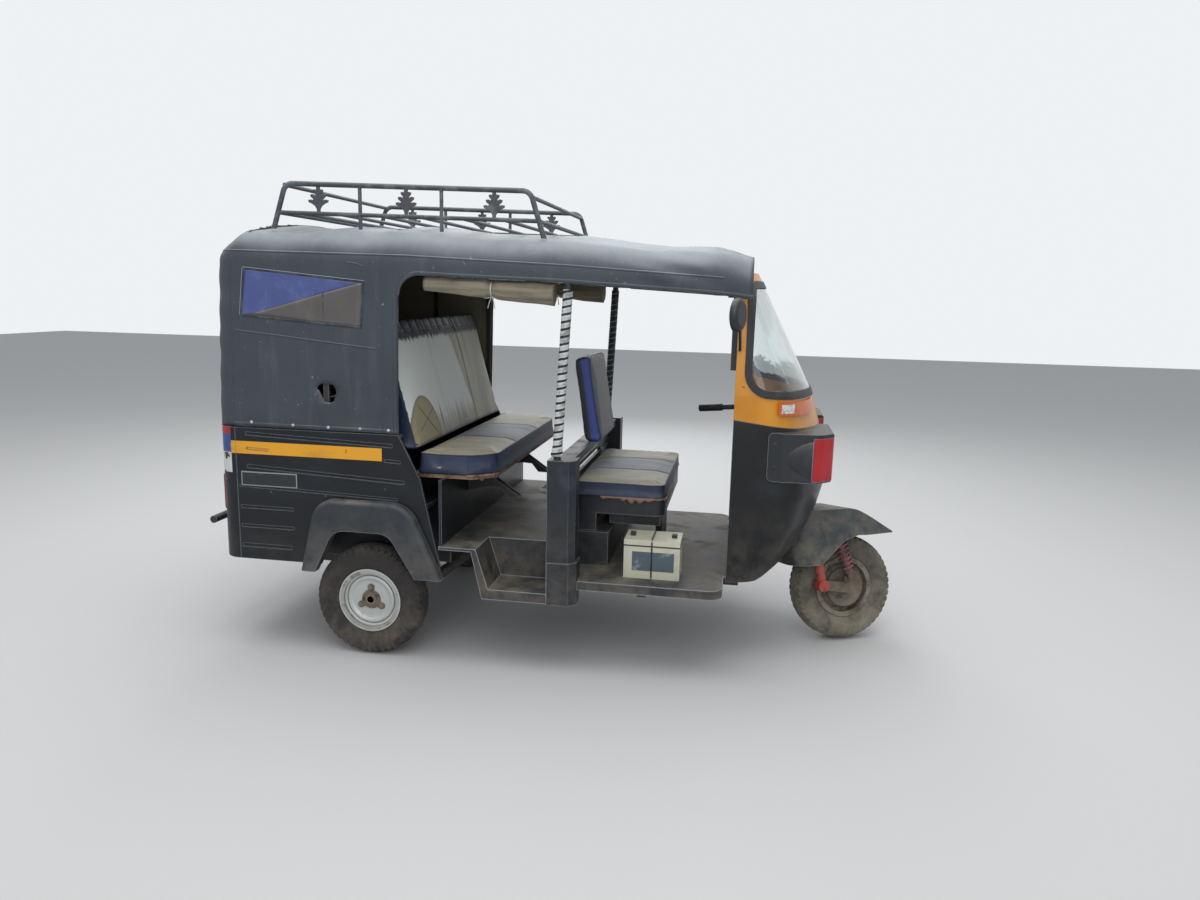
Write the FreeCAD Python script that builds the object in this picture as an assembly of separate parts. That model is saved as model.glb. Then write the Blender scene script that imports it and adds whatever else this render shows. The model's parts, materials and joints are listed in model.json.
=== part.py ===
import FreeCAD, Part
import math
import os
from FreeCAD import Vector

# Three-wheeled auto rickshaw: open pressed-steel cab, vinyl canopy, roof rack.
# Millimetres. X forward, Y left, Z up. The rear axle is over X = 0 and the
# ground is Z = 0 while building. The last step moves the base centre to the origin.

# Stance
wheelbase = 2090.0
rearTrack = 1260.0
tyreRadius = 247.5
tyreWidth = 118.0
beadRadius = 127.0
flangeRadius = 143.5
runGap = 0.3

# Steering
rakeAngle = 22.0
axisAtWheel = 2000.0
parkedTurn = 25.0
gripHeight = 1100.0
gripSpread = 330.0
legTube = 21.0

# Rear body
bodyHalf = 700.0
bodyRear = -690.0
beltHeight = 998.0
sillHeight = 408.0
skin = 10.0
bodyCorner = 90.0
panelSplit = -590.0
fenderHalf = 742.0
beltFlange = 45.0

# Floors
floorTop = 525.0
floorSheet = 14.0
floorRear = 330.0
floorFront = 862.0
stepTop = 352.0
stepLip = 45.0
stepInner = 500.0
stepOuter = 702.0
driverFloorTop = 405.0
driverFloorHalf = 660.0
driverLip = 40.0

# Pillars and partition
pillarRear = 800.0
pillarFront = 918.0
pillarTop = 926.0
pillarBottom = 305.0
pillarInner = 596.0
pillarOuter = 700.0

# Canopy
canopyHalf = 690.0
canopySkin = 8.0
canopyCrown = 1892.0
canopyCorner = 140.0
canopyAngle = 80.0
canopySplit = 200.0
hoopBar = 24.0
hoopThick = 12.0
hoopGap = 0.3

# Front cowl
cowlRear = 1545.0
cowlWall = 8.0
cowlTop = 1706.0
paintRear = 1096.0
paintNose = 1048.0
gasketWidth = 30.0
glassThick = 5.0

# Rack
rackHalf = 537.0
rackTube = 11.0

right = -1
left = 1


def box(x0, x1, y0, y1, z0, z1):
    return Part.makeBox(x1 - x0, y1 - y0, z1 - z0, Vector(x0, y0, z0))


def mirrored(shape):
    return shape.mirror(Vector(0, 0, 0), Vector(0, 1, 0))


def pair(shape):
    return Part.makeCompound([shape, mirrored(shape)])


def fuse(shapes):
    whole = shapes[0].multiFuse(shapes[1:])
    return whole.removeSplitter()


def cleanLoop(points):
    corners = [Vector(*p) for p in points]
    return Part.makePolygon(corners + [corners[0]])


def sideSlab(outline, y0, y1):
    """Prism across the vehicle from an (x, z) outline."""
    wire = cleanLoop([(x, y0, z) for x, z in outline])
    return Part.Face(wire).extrude(Vector(0, y1 - y0, 0))


def planSlab(outline, z0, z1):
    """Upright prism from an (x, y) outline."""
    wire = cleanLoop([(x, y, z0) for x, y in outline])
    return Part.Face(wire).extrude(Vector(0, 0, z1 - z0))


def roundedSide(outline, y0, y1):
    """Prism across the vehicle whose (x, z, radius) corners are rounded."""
    edges = roundedLoop([(Vector(x, y0, z), r) for x, z, r in outline])
    return Part.Face(Part.Wire(edges)).extrude(Vector(0, y1 - y0, 0))


def roundedPlan(outline, z0, z1):
    """Upright prism whose (x, y, radius) corners are rounded."""
    edges = roundedLoop([(Vector(x, y, z0), r) for x, y, r in outline])
    return Part.Face(Part.Wire(edges)).extrude(Vector(0, 0, z1 - z0))


def cornerArc(before, corner, after, radius):
    toBefore = (before - corner).normalize()
    toAfter = (after - corner).normalize()
    half = toBefore.getAngle(toAfter) / 2.0
    reach = radius / math.tan(half)
    start = corner + toBefore * reach
    end = corner + toAfter * reach
    middle = corner + (toBefore + toAfter).normalize() * (radius / math.sin(half) - radius)
    return start, middle, end


def roundedLoop(corners):
    count = len(corners)
    arcs = []
    for i in range(count):
        point, radius = corners[i]
        before = corners[i - 1][0]
        after = corners[(i + 1) % count][0]
        arcs.append(cornerArc(before, point, after, radius) if radius > 0 else (point, None, point))
    edges = []
    for i in range(count):
        start, middle, end = arcs[i]
        if middle is not None:
            edges.append(Part.Arc(start, middle, end).toShape())
        nextStart = arcs[(i + 1) % count][0]
        if (nextStart - end).Length > 0.01:
            edges.append(Part.LineSegment(end, nextStart).toShape())
    return edges


def rod(points, radius):
    """Round bar through the points, with ball joints where it turns."""
    places = [Vector(*p) for p in points]
    pieces = []
    for a, b in zip(places, places[1:]):
        pieces.append(Part.makeCylinder(radius, (b - a).Length, a, b - a))
    for p in places[1:-1]:
        pieces.append(Part.makeSphere(radius, p))
    return pieces[0] if len(pieces) == 1 else fuse(pieces)


def bentRod(points, radius, bend):
    """Round bar swept along straight runs with arcs of one bend radius."""
    places = [Vector(*p) for p in points]
    edges = []
    previous = places[0]
    for i in range(1, len(places) - 1):
        start, middle, end = cornerArc(places[i - 1], places[i], places[i + 1], bend)
        edges.append(Part.LineSegment(previous, start).toShape())
        edges.append(Part.Arc(start, middle, end).toShape())
        previous = end
    edges.append(Part.LineSegment(previous, places[-1]).toShape())
    path = Part.Wire(edges)
    ring = Part.Wire(Part.makeCircle(radius, places[0], places[1] - places[0]))
    sweep = Part.BRepOffsetAPI.MakePipeShell(path)
    sweep.add(ring)
    sweep.build()
    sweep.makeSolid()
    return sweep.shape()


def bow(halfWidth, tip, corner, angle, base, place):
    """Closed section: straight sides, tangent corner arcs and one broad arc with its tip on the centre."""
    turn = math.radians(angle)
    broad = (halfWidth - corner) / math.cos(turn) + corner
    shoulder = tip - broad - (corner - broad) * math.sin(turn)
    halfTurn = turn / 2.0
    midAcross = halfWidth - corner + corner * math.cos(halfTurn)
    midAlong = shoulder + corner * math.sin(halfTurn)
    endAcross = broad * math.cos(turn)
    endAlong = tip - broad + broad * math.sin(turn)
    edges = [
        Part.LineSegment(place(-halfWidth, base), place(-halfWidth, shoulder)).toShape(),
        Part.Arc(place(-halfWidth, shoulder), place(-midAcross, midAlong), place(-endAcross, endAlong)).toShape(),
        Part.Arc(place(-endAcross, endAlong), place(0, tip), place(endAcross, endAlong)).toShape(),
        Part.Arc(place(endAcross, endAlong), place(midAcross, midAlong), place(halfWidth, shoulder)).toShape(),
        Part.LineSegment(place(halfWidth, shoulder), place(halfWidth, base)).toShape(),
        Part.LineSegment(place(halfWidth, base), place(-halfWidth, base)).toShape(),
    ]
    return Part.Wire(edges)


def across(x):
    return lambda y, z: Vector(x, y, z)


def level(z):
    return lambda y, x: Vector(x, y, z)


def spun(profile, centre):
    """Solid of revolution about the Y axis from (radius, y) points."""
    wire = cleanLoop([(0, y, r) for r, y in profile])
    ring = Part.Face(wire).revolve(Vector(0, 0, 0), Vector(0, 1, 0), 360)
    ring.translate(centre)
    return ring


# Rear body shell

# Beads pressed into each side: x start, x end, z start, z end, height
sideGrooves = [
    (-540, 130, 972, 950, 14),
    (-540, -440, 907, 903, 12),
    (95, 165, 885, 882, 12),
    (-540, 180, 828, 794, 14),
    (-640, 150, 741, 718, 10),
    (-640, -330, 645, 645, 12),
    (-640, -330, 559, 559, 12),
    (-640, -345, 470, 470, 16),
]
grooveDepth = 5.0

# Opening round the rear wheel: x, z, corner radius
archOutline = [(-240, 340, 0), (-130, 575, 80), (118, 575, 80), (262, 340, 0)]
# Outer edge of the wheel flare: x, z, corner radius
flareOutline = [(-290, 383, 0), (-214, 708, 110), (205, 708, 130), (352, 383, 0)]

sideOutline = [(panelSplit, sillHeight), (panelSplit, beltHeight), (157, beltHeight),
               (252, 812), (335, 440), (335, sillHeight)]


def bodyBox(inset, bottom, top):
    """Outer or inner form of the rear body in plan, rounded at its rear corners."""
    halfY = bodyHalf - inset
    rear = bodyRear + inset
    corner = bodyCorner - inset
    outline = [(rear, -halfY, corner), (600, -halfY, 0), (600, halfY, 0), (rear, halfY, corner)]
    return roundedPlan(outline, bottom, top)


def bodyWall():
    """Skin of the rear body with the flange that carries the canopy along its top."""
    wall = bodyBox(0, sillHeight, beltHeight).cut(bodyBox(skin, sillHeight - 1, beltHeight + 1))
    flange = bodyBox(skin, beltHeight - skin, beltHeight)
    flange = flange.cut(bodyBox(beltFlange, beltHeight - skin - 1, beltHeight + 1))
    return fuse([wall, flange])


def sidePanel():
    wall = bodyWall()
    panel = wall.common(sideSlab(sideOutline, -bodyHalf - 1, 0))
    panel = panel.cut(roundedSide(archOutline, -bodyHalf - 5, 0))
    for x0, x1, z0, z1, height in sideGrooves:
        start = max(x0, panelSplit + 12)
        outline = [(start, z0 - height / 2), (x1, z1 - height / 2),
                   (x1, z1 + height / 2), (start, z0 + height / 2)]
        panel = panel.cut(sideSlab(outline, -bodyHalf - 1, -bodyHalf + grooveDepth))
    return panel


lidHalf = 330.0
lidBottom = 596.0
lidTop = 905.0
lidGap = 6.0


def rearPanel():
    panel = bodyWall().common(box(bodyRear - 1, panelSplit, -bodyHalf, bodyHalf, sillHeight, beltHeight))
    panel = panel.cut(roundedOpening(lidHalf, lidBottom, lidTop, 40.0))
    leaves = []
    for y in hingePlaces:
        for side in (right, left):
            start = y + side * (hingeWidth + hingeSlack)
            leaves.append(hingeLeaf(start, 1))
    return fuse([panel] + leaves)


hingePlaces = (-200.0, 200.0)
hingeWidth = 40.0
hingeSlack = 0.5
hingeX = bodyRear - 7.0
hingeZ = lidTop - 3.0


def hingeLeaf(y, rise):
    """Knuckle centred on y and its leaf, which lies on the panel above or the lid below."""
    half = hingeWidth / 2
    knuckle = Part.makeCylinder(6, hingeWidth, Vector(hingeX, y - half, hingeZ), Vector(0, 1, 0))
    z0, z1 = sorted((hingeZ, hingeZ + rise * 34))
    leaf = box(hingeX, bodyRear, y - half, y + half, z0, z1)
    under = box(hingeX + 4, bodyRear + 1, y - half - 1, y + half + 1, hingeZ - 5, hingeZ + 5)
    return fuse([knuckle, leaf]).cut(under)


def roundedOpening(halfY, z0, z1, corner):
    points = [(-halfY, z0), (halfY, z0), (halfY, z1), (-halfY, z1)]
    edges = roundedLoop([(Vector(bodyRear - 30, y, z), corner) for y, z in points])
    return Part.Face(Part.Wire(edges)).extrude(Vector(80, 0, 0))


louvreCount = 4
louvrePitch = 40.0
louvreStart = 100.0
louvreHalf = 210.0
louvreTall = 14.0


def engineLid():
    inner = roundedOpening(lidHalf - lidGap, lidBottom + lidGap, lidTop - lidGap, 36.0)
    plate = inner.common(box(bodyRear, bodyRear + skin, -bodyHalf, bodyHalf, 0, beltHeight))
    for i in range(louvreCount):
        z = lidBottom + louvreStart + i * louvrePitch
        slot = box(bodyRear - 1, bodyRear + skin + 1, -louvreHalf, louvreHalf, z, z + louvreTall)
        plate = plate.cut(slot)
    handle = box(bodyRear - 14, bodyRear, -45, 45, lidBottom + 40, lidBottom + 58)
    return fuse([plate, handle] + [hingeLeaf(y, -1) for y in hingePlaces])


lampHalf = 48.0
lampY = 560.0


def tailLamp():
    """Lamp on the rear corner, three lenses in one rounded housing."""
    points = [(-lampY - lampHalf, 600), (-lampY + lampHalf, 600), (-lampY + lampHalf, 770), (-lampY - lampHalf, 770)]
    edges = roundedLoop([(Vector(bodyRear - 24, y, z), 16) for y, z in points])
    return Part.Face(Part.Wire(edges)).extrude(Vector(24, 0, 0))


def rearFender():
    ring = roundedSide(flareOutline, -fenderHalf, -bodyHalf)
    ring = ring.cut(roundedSide(archOutline, -fenderHalf - 1, -bodyHalf + 1))
    outerEdges = [e for e in ring.Edges if e.BoundBox.YMax < -fenderHalf + 1
                  and e.BoundBox.ZMax > 384 and isFlareEdge(e)]
    return ring.makeFillet(22, outerEdges)


def isFlareEdge(edge):
    """True for an edge of the flare's outer outline, away from the arch."""
    middle = edge.valueAt((edge.FirstParameter + edge.LastParameter) / 2)
    outward = abs(middle.x - 30) > 280 or middle.z > 640
    return outward


# Rear deck: shelf over the engine, wheel housings and the seat riser

deckTop = 700.0
deckSheet = 12.0
housingInner = 535.0
housingRear = -330.0
riserX = 330.0
seatBoardTop = 812.0


def rearDeck():
    innerHalf = bodyHalf - skin
    deck = box(bodyRear + skin, riserX, -innerHalf, innerHalf, deckTop - deckSheet, deckTop)
    deck = deck.common(bodyBox(skin, deckTop - deckSheet, deckTop))
    lidWay = lidHalf + lidGap
    deck = deck.cut(box(bodyRear, bodyRear + skin + lidGap, -lidWay, lidWay, deckTop - deckSheet, deckTop))
    wallTop = deckTop - deckSheet
    pieces = [deck]
    for side in (right, left):
        y0, y1 = sorted((side * housingInner, side * (housingInner + deckSheet)))
        pieces.append(box(housingRear, riserX, y0, y1, sillHeight, wallTop))
        outer = sorted((side * housingInner, side * innerHalf))
        pieces.append(box(housingRear - deckSheet, housingRear, outer[0], outer[1], sillHeight, wallTop))
    pieces.append(box(riserX, riserX + deckSheet, -innerHalf, innerHalf, floorTop, seatBoardTop))
    whole = fuse(pieces)
    slant = sideSlab([(157, beltHeight), (252, 812), (335, 440), (700, 440), (700, beltHeight)],
                     -bodyHalf, bodyHalf)
    slant = slant.cut(box(riserX - 1, 800, -bodyHalf, bodyHalf, 0, 2000))
    return whole.cut(slant.cut(box(0, 800, -housingInner, housingInner, 0, 2000)))


# Floors and steps

def floorPan():
    deck = box(floorRear, floorFront, -stepInner, stepInner, floorTop - floorSheet, floorTop)
    pieces = [deck]
    shelfFront = 480.0
    stepRear = 535.0
    for side in (right, left):
        y0, y1 = sorted((side * stepInner, side * stepOuter))
        pieces.append(box(floorRear, shelfFront, y0, y1, floorTop - floorSheet, floorTop))
        slope = [(shelfFront, floorTop), (shelfFront + 14, floorTop), (stepRear + 14, stepTop),
                 (stepRear + 14, stepTop - stepLip), (stepRear - 14, stepTop - stepLip),
                 (shelfFront - 6, floorTop - floorSheet - 6), (shelfFront - 6, floorTop)]
        pieces.append(sideSlab(slope, y0, y1))
        tread = box(stepRear, floorFront, y0, y1, stepTop - floorSheet, stepTop)
        lip = sorted((side * stepOuter, side * (stepOuter - 12)))
        pieces.append(box(stepRear, floorFront, lip[0], lip[1], stepTop - stepLip, stepTop))
        riser = sorted((side * stepInner, side * (stepInner - floorSheet)))
        pieces.append(box(shelfFront, floorFront, riser[0], riser[1], stepTop - floorSheet, floorTop))
        pieces.append(tread)
    apron = box(floorFront - floorSheet, floorFront, -stepInner, stepInner,
                driverFloorTop - driverLip, floorTop)
    pieces.append(apron)
    return fuse(pieces)


toeStart = 1640.0
toeTop = 1702.0
shelfHeight = 692.0
toeSheet = 8.0


def driverFloor():
    nose = 1535.0
    outline = [(floorFront, -driverFloorHalf, 0), (nose, -driverFloorHalf, 60), (nose, driverFloorHalf, 60),
               (floorFront, driverFloorHalf, 0)]
    tray = roundedPlan(outline, driverFloorTop - driverLip, driverFloorTop)
    inset = [(floorFront - 5, -driverFloorHalf + 12, 0), (nose - 12, -driverFloorHalf + 12, 48),
             (nose - 12, driverFloorHalf - 12, 48), (floorFront - 5, driverFloorHalf - 12, 0)]
    tray = tray.cut(roundedPlan(inset, 0, driverFloorTop - floorSheet))
    toe = [(nose - 40, driverFloorTop), (toeStart, driverFloorTop), (toeTop, shelfHeight), (2100, shelfHeight),
           (2100, shelfHeight - toeSheet), (toeTop + 6, shelfHeight - toeSheet),
           (toeStart + 6, driverFloorTop - toeSheet), (nose - 40, driverFloorTop - toeSheet)]
    board = sideSlab(toe, -bodyHalf, bodyHalf).common(cowlForm(cowlWall, nose - 60))
    hole = Part.makeCylinder(52, 200, steeringPoint(shelfHeight - 100), steeringDirection())
    return fuse([tray, board.cut(hole)])


# Chassis

railHalf = 250.0
railWide = 60.0
railRearTop = floorTop - floorSheet
railFrontTop = driverFloorTop - floorSheet
railDeep = 70.0
railRear = -640.0
railFront = 1600.0
headTop = 1020.0
headBottom = 742.0
headOuter = 34.0
headBore = legTube + runGap
towPlate = 12.0
towHole = 13.0


def chassisRails():
    """Side rail with its outriggers, rear bracket and jack pad, for each side."""
    outline = [(railRear, railRearTop - railDeep), (railRear, railRearTop), (floorFront - 60, railRearTop),
               (floorFront + 40, railFrontTop), (railFront, railFrontTop),
               (railFront, railFrontTop - railDeep), (floorFront, railFrontTop - railDeep),
               (floorFront - 90, railRearTop - railDeep)]
    outer = railHalf + railWide
    stepArm = stepOuter - 14
    floorArm = driverFloorHalf - 14
    low = stepTop - stepLip - 10
    pieces = [
        sideSlab(outline, railHalf, outer),
        box(floorFront - 50, floorFront - 14, railHalf, stepArm, low, stepTop - floorSheet),
        box(floorFront - 50, floorFront - 14, railHalf, outer, low, railRearTop - 40),
        box(armX, armX + armWide, railHalf, floorArm, railFrontTop - armWide, railFrontTop),
        box(railRear, railRear + armWide, railHalf, rearArmEnd, railRearTop - armDeep, railRearTop),
        box(jackX - jackHalf, jackX + jackHalf, railHalf, outer,
            railRearTop - railDeep - jackPad, railRearTop - railDeep),
    ]
    return pair(fuse(pieces))


armX = 1180.0
armWide = 40.0
armDeep = 50.0
rearArmEnd = 660.0
jackX = -480.0
jackHalf = 40.0
jackPad = 8.0
memberDeep = 60.0


def crossMembers():
    """Members between the rails; the rear one carries the tow eye."""
    # Cross members: x start, top of the rail there
    places = [(railRear, railRearTop), (300, railRearTop), (armX, railFrontTop), (railFront - 50, railFrontTop)]
    members = [box(x, x + 50, -railHalf, railHalf, top - memberDeep, top) for x, top in places]
    members[0] = fuse([members[0], towEye()])
    return Part.makeCompound(members)


def steeringHead():
    """Head tube on two struts that rise from the floor over the front cross member."""
    pieces = [Part.makeCylinder(headOuter, headLength(), steeringPoint(headBottom), steeringDirection())]
    for side in (right, left):
        pieces.append(rod([(railFront - 25, side * strutFoot, railFrontTop - 10),
                           (steeringPoint(headBottom + 30).x, side * 20, headBottom + 30)], 17))
    whole = fuse(pieces)
    whole = whole.cut(box(railFront - 100, railFront + 100, -railHalf, railHalf, 0, driverFloorTop))
    return whole.cut(steeringBore(headBore))


strutFoot = 180.0


def steeringBore(radius):
    reach = 100.0
    return Part.makeCylinder(radius, headLength() + 2 * reach, steeringPoint(headBottom - reach), steeringDirection())


def headLength():
    return (headTop - headBottom) / math.cos(math.radians(rakeAngle))


towDrop = 112.0
towHalf = 34.0
towHoleRise = 28.0


def towEye():
    """Plate under the rear cross member with a hole for a tow pin."""
    top = railRearTop - memberDeep
    low = top - towDrop
    plate = box(railRear, railRear + towPlate, -towHalf, towHalf, low, top)
    hole = Part.makeCylinder(towHole, towPlate + 2, Vector(railRear - 1, 0, low + towHoleRise), Vector(1, 0, 0))
    return plate.cut(hole)


bumperX = -783.0
bumperZ = 545.0
bumperHalf = 600.0
bumperTube = 17.0


def rearBumper():
    bar = Part.makeCylinder(bumperTube, 2 * bumperHalf, Vector(bumperX, -bumperHalf, bumperZ), Vector(0, 1, 0))
    arms = [box(bumperX, bodyRear, y - 15, y + 15, bumperZ - 12, bumperZ + 12) for y in (-430, 430)]
    return fuse([bar] + arms)


# Steering geometry

def steeringX(z):
    return axisAtWheel - (z - tyreRadius) * math.tan(math.radians(rakeAngle))


def steeringPoint(z):
    return Vector(steeringX(z), 0, z)


def steeringDirection():
    rake = math.radians(rakeAngle)
    return Vector(-math.sin(rake), 0, math.cos(rake))


# Front cowl

# Sections of the cowl: height, half width, nose, corner radius, corner angle
cowlSections = [
    (383, 455, 1800, 160, 60),
    (500, 464, 1874, 160, 60),
    (620, 470, 1928, 160, 60),
    (760, 472, 1962, 160, 60),
    (900, 472, 1957, 160, 60),
    (1050, 470, 1928, 160, 60),
    (1200, 466, 1880, 150, 62),
    (1790, 420, 1578, 100, 75),
]
cowlBase = 1360.0


def cowlForm(inset, rear):
    """Solid form of the cowl, drawn in by the inset, forward of the given rear plane."""
    wires = []
    for z, halfWidth, nose, corner, angle in cowlSections:
        wires.append(bow(halfWidth - inset, nose - inset, corner - inset, angle, cowlBase, level(z)))
    form = Part.makeLoft(wires, True, True)
    return form.cut(box(cowlBase - 10, rear, -bodyHalf, bodyHalf, 0, 2000))


def paintLine(above):
    """Side wedge above or below the line between the two paints."""
    rearX = cowlRear - 200
    slope = (paintNose - paintRear) / (cowlSections[5][2] - cowlRear)
    zRear = paintRear + slope * (rearX - cowlRear)
    zFront = paintRear + slope * (2200 - cowlRear)
    end = cowlTop if above else 300
    return sideSlab([(rearX, zRear), (2200, zFront), (2200, end), (rearX, end)], -bodyHalf, bodyHalf)


# Glazed opening in side view, at the outer edge of the rubber: x, z, radius
glazedOutline = [(1582, 1672, 30), (1582, 1196, 110), (2200, 1160, 0), (2200, 1672, 0)]


def glazedForm(shrink):
    x0 = glazedOutline[0][0] + shrink
    zTop = glazedOutline[0][1] - shrink
    outline = [(x0, zTop, max(glazedOutline[0][2] - shrink, 4)),
               (x0, glazedOutline[1][1] + shrink, glazedOutline[1][2] - shrink),
               (2200, glazedOutline[2][1] + shrink, 0), (2200, zTop, 0)]
    return roundedSide(outline, -bodyHalf, bodyHalf)


def cowlShell():
    outer = cowlForm(0, cowlRear)
    inner = cowlForm(cowlWall, cowlRear - 20)
    return outer.cut(inner)


archHalf = 255.0
archTop = 680.0


def cowlHalf(z):
    """Half width of the cowl at a height."""
    for a, b in zip(cowlSections, cowlSections[1:]):
        if a[0] <= z <= b[0]:
            return a[1] + (b[1] - a[1]) * (z - a[0]) / (b[0] - a[0])
    return cowlSections[0][1]


def cowlLower(shell):
    lower = shell.common(paintLine(False))
    arch = [(archHalf, archTop), (archHalf, 300), (-archHalf, 300), (-archHalf, archTop)]
    edges = roundedLoop([(Vector(1720, y, z), 110 if z > 600 else 0) for y, z in arch])
    opening = Part.Face(Part.Wire(edges)).extrude(Vector(400, 0, 0))
    lower = lower.cut(opening)
    cornerCut = sideSlab([(1640, 370), (1700, 398), (1765, 440), (1830, 520), (1900, 370)], -bodyHalf, bodyHalf)
    return lower.cut(cornerCut)


def cowlUpper(shell):
    return shell.common(paintLine(True)).cut(glazedForm(0))


def gasketAndGlass():
    thick = cowlForm(-6, cowlRear).cut(cowlForm(cowlWall + 4, cowlRear - 20))
    thick = thick.common(paintLine(True))
    gasket = thick.common(glazedForm(0)).cut(glazedForm(gasketWidth))
    pane = cowlForm(0, cowlRear).cut(cowlForm(glassThick, cowlRear - 20))
    pane = pane.common(paintLine(True)).common(glazedForm(gasketWidth))
    return gasket, pane


lampRear = 1693.0
lampLens = 1879.0
lampFront = 1966.0
lampBottom = 846.0
lampTop = 1052.0


def headlamps():
    side = [(lampRear, lampBottom, 22), (lampFront, lampBottom, 12), (lampFront, lampTop, 12),
            (lampRear, lampTop, 22)]
    plan = [(lampRear, -482, 0), (lampRear + 60, -496, 0), (lampFront - 60, -488, 40),
            (lampFront, -420, 40), (lampFront + 6, -150, 0), (lampRear, -150, 0)]
    block = roundedSide(side, -520, -100).common(roundedPlan(plan, 800, 1100))
    block = block.cut(cowlForm(0, cowlRear))
    lensBox = box(lampLens, 2100, -600, 0, lampBottom + 8, lampTop - 18)
    return block.cut(lensBox), block.common(lensBox)


def indicator():
    side = [(1727, 1122, 8), (1880, 1116, 8), (1880, 1172, 8), (1727, 1178, 8)]
    lens = roundedSide(side, -600, -100).common(cowlForm(-14, cowlRear))
    return lens.cut(cowlForm(0, cowlRear))


def dashboard():
    form = cowlForm(cowlWall + 0.3, cowlRear)
    outline = [(1765, 1010), (1765, 1095), (1800, 1150), (1990, 1150), (1990, 1010)]
    return sideSlab(outline, -bodyHalf, bodyHalf).common(form)


mirrorPlace = Vector(1550, -622, 1535)
mirrorTall = 67.0
mirrorWide = 52.0
mirrorDepth = 30.0
mirrorTurn = 28.0
stalkHeight = 1388.0


def mirror():
    """Oval mirror, domed in front and turned towards the driver, on its bent stalk."""
    upright = Part.Ellipse(Vector(0, 0, mirrorTall), Vector(0, mirrorWide, 0), Vector(0, 0, 0))
    head = Part.Face(Part.Wire(upright.toShape())).extrude(Vector(mirrorDepth, 0, 0))
    rim = [e for e in head.Edges if e.BoundBox.XMin > mirrorDepth - 1]
    head = head.makeFillet(20, rim)
    head.rotate(Vector(0, 0, 0), Vector(0, 0, 1), -mirrorTurn)
    head.translate(mirrorPlace - Vector(mirrorDepth / 2, 0, 0))
    foot = -cowlHalf(stalkHeight) + 2
    stalk = rod([(cowlRear + 12, foot, stalkHeight), (cowlRear + 12, foot - 45, stalkHeight + 4),
                 (mirrorPlace.x + 4, mirrorPlace.y + 22, mirrorPlace.z - 44)], 6)
    return fuse([head, stalk])


# Canopy

def rearCanopyForm(inset, front):
    tunnel = bow(canopyHalf - inset, canopyCrown - inset, canopyCorner - inset, canopyAngle,
                 beltHeight + runGap, across(-800))
    solid = Part.Face(tunnel).extrude(Vector(800 + front, 0, 0))
    back = [(-699 + inset, beltHeight + runGap, 0), (-668 + inset, canopyCrown - inset + 30, 150),
            (front + 10, canopyCrown - inset + 30, 0), (front + 10, beltHeight + runGap, 0)]
    solid = solid.common(roundedSide(back, -900, 900))
    plan = [(-699 + inset, -canopyHalf + inset, 85 - inset), (front, -canopyHalf + inset, 0),
            (front, canopyHalf - inset, 0), (-699 + inset, canopyHalf - inset, 85 - inset)]
    return solid.common(roundedPlan(plan, 900, 2000))


doorRear = 152.0
doorTop = 1662.0


def canopyRear():
    shell = rearCanopyForm(0, canopySplit).cut(rearCanopyForm(canopySkin, canopySplit + 5))
    doorway = [(doorRear, 900, 0), (doorRear + 10, doorTop, 90), (900, doorTop, 0), (900, 900, 0)]
    shell = shell.cut(roundedSide(doorway, -900, 900))
    return shell


# Roof sections forward of the split: x, half width, crown, lip height
roofSections = [
    (200, 690, 1892, 1661),
    (860, 664, 1862, 1643),
    (1440, 560, 1828, 1612),
    (1600, 492, 1782, 1596),
]


def roofForm(inset, drop):
    wires = []
    for x, halfWidth, crown, lip in roofSections:
        wires.append(bow(halfWidth - inset, crown - inset, canopyCorner - inset, canopyAngle,
                         lip - drop, across(x)))
    return Part.makeLoft(wires, True, True)


def canopyRoof():
    return roofForm(0, 0).cut(roofForm(canopySkin, 30))


railTube = 12.0
railRise = 18.0


def hoop(x, foot):
    """Flat bar bent to the inside of the canopy, standing on its foot."""
    form = rearCanopyForm if x < canopySplit else roofBand
    band = form(canopySkin + hoopGap, canopySplit).cut(form(canopySkin + hoopGap + hoopThick, canopySplit))
    return band.common(box(x, x + hoopBar, -canopyHalf, canopyHalf, foot, 2000))


def roofBand(inset, front):
    return roofForm(inset, 60)


def railPoint(x, halfWidth, lip, side):
    inset = canopySkin + hoopGap + hoopThick + hoopGap + railTube
    return (x, side * (halfWidth - inset), lip + railRise)


def roofRail(side):
    """Tube under the edge of the roof, from the rear hoop to the front cowl."""
    x, halfWidth, crown, lip = roofSections[0]
    points = [railPoint(-560, halfWidth, lip, side)]
    for x, halfWidth, crown, lip in roofSections[:-1]:
        points.append(railPoint(x, halfWidth, lip, side))
    x, halfWidth, crown, lip = roofSections[-1]
    points.append(railPoint(x - 60, halfWidth + 14, lip, side))
    points.append((cowlRear - 14, side * (cowlHalf(lip) - 13), lip + railRise))
    return rod(points, railTube)


# Hoops: x, height of the foot
hoopPlaces = [(-560, beltHeight), (-180, beltHeight), (126, beltHeight), (848, 1640), (1500, 1600)]


def canopyHoops():
    return [hoop(x, foot) for x, foot in hoopPlaces]


def roofRails():
    """Rail under each edge of the roof, with the bar up the rear edge of the cowl that takes its end."""
    rails = []
    half = cowlHalf(1560)
    for side in (right, left):
        y0, y1 = sorted((side * (half - 26), side * half))
        bar = box(cowlRear - 24, cowlRear, y0, y1, 1300, 1640)
        rails.append(fuse([roofRail(side), bar]))
    return Part.makeCompound(rails)


# Rack

rackRear = -461.0
rackFront = 744.0
rackRearFoot = 1838.0
rackFrontFoot = 1806.0
rackRearTop = 2037.0
rackFrontTop = 2010.0
rackRearLean = 64.0
rackFrontLean = 65.0
rackLowDrop = 120.0
rackUprights = (-60.0, 300.0)
rackSlats = (-330.0, -150.0, 30.0, 210.0, 390.0, 570.0)


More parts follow.
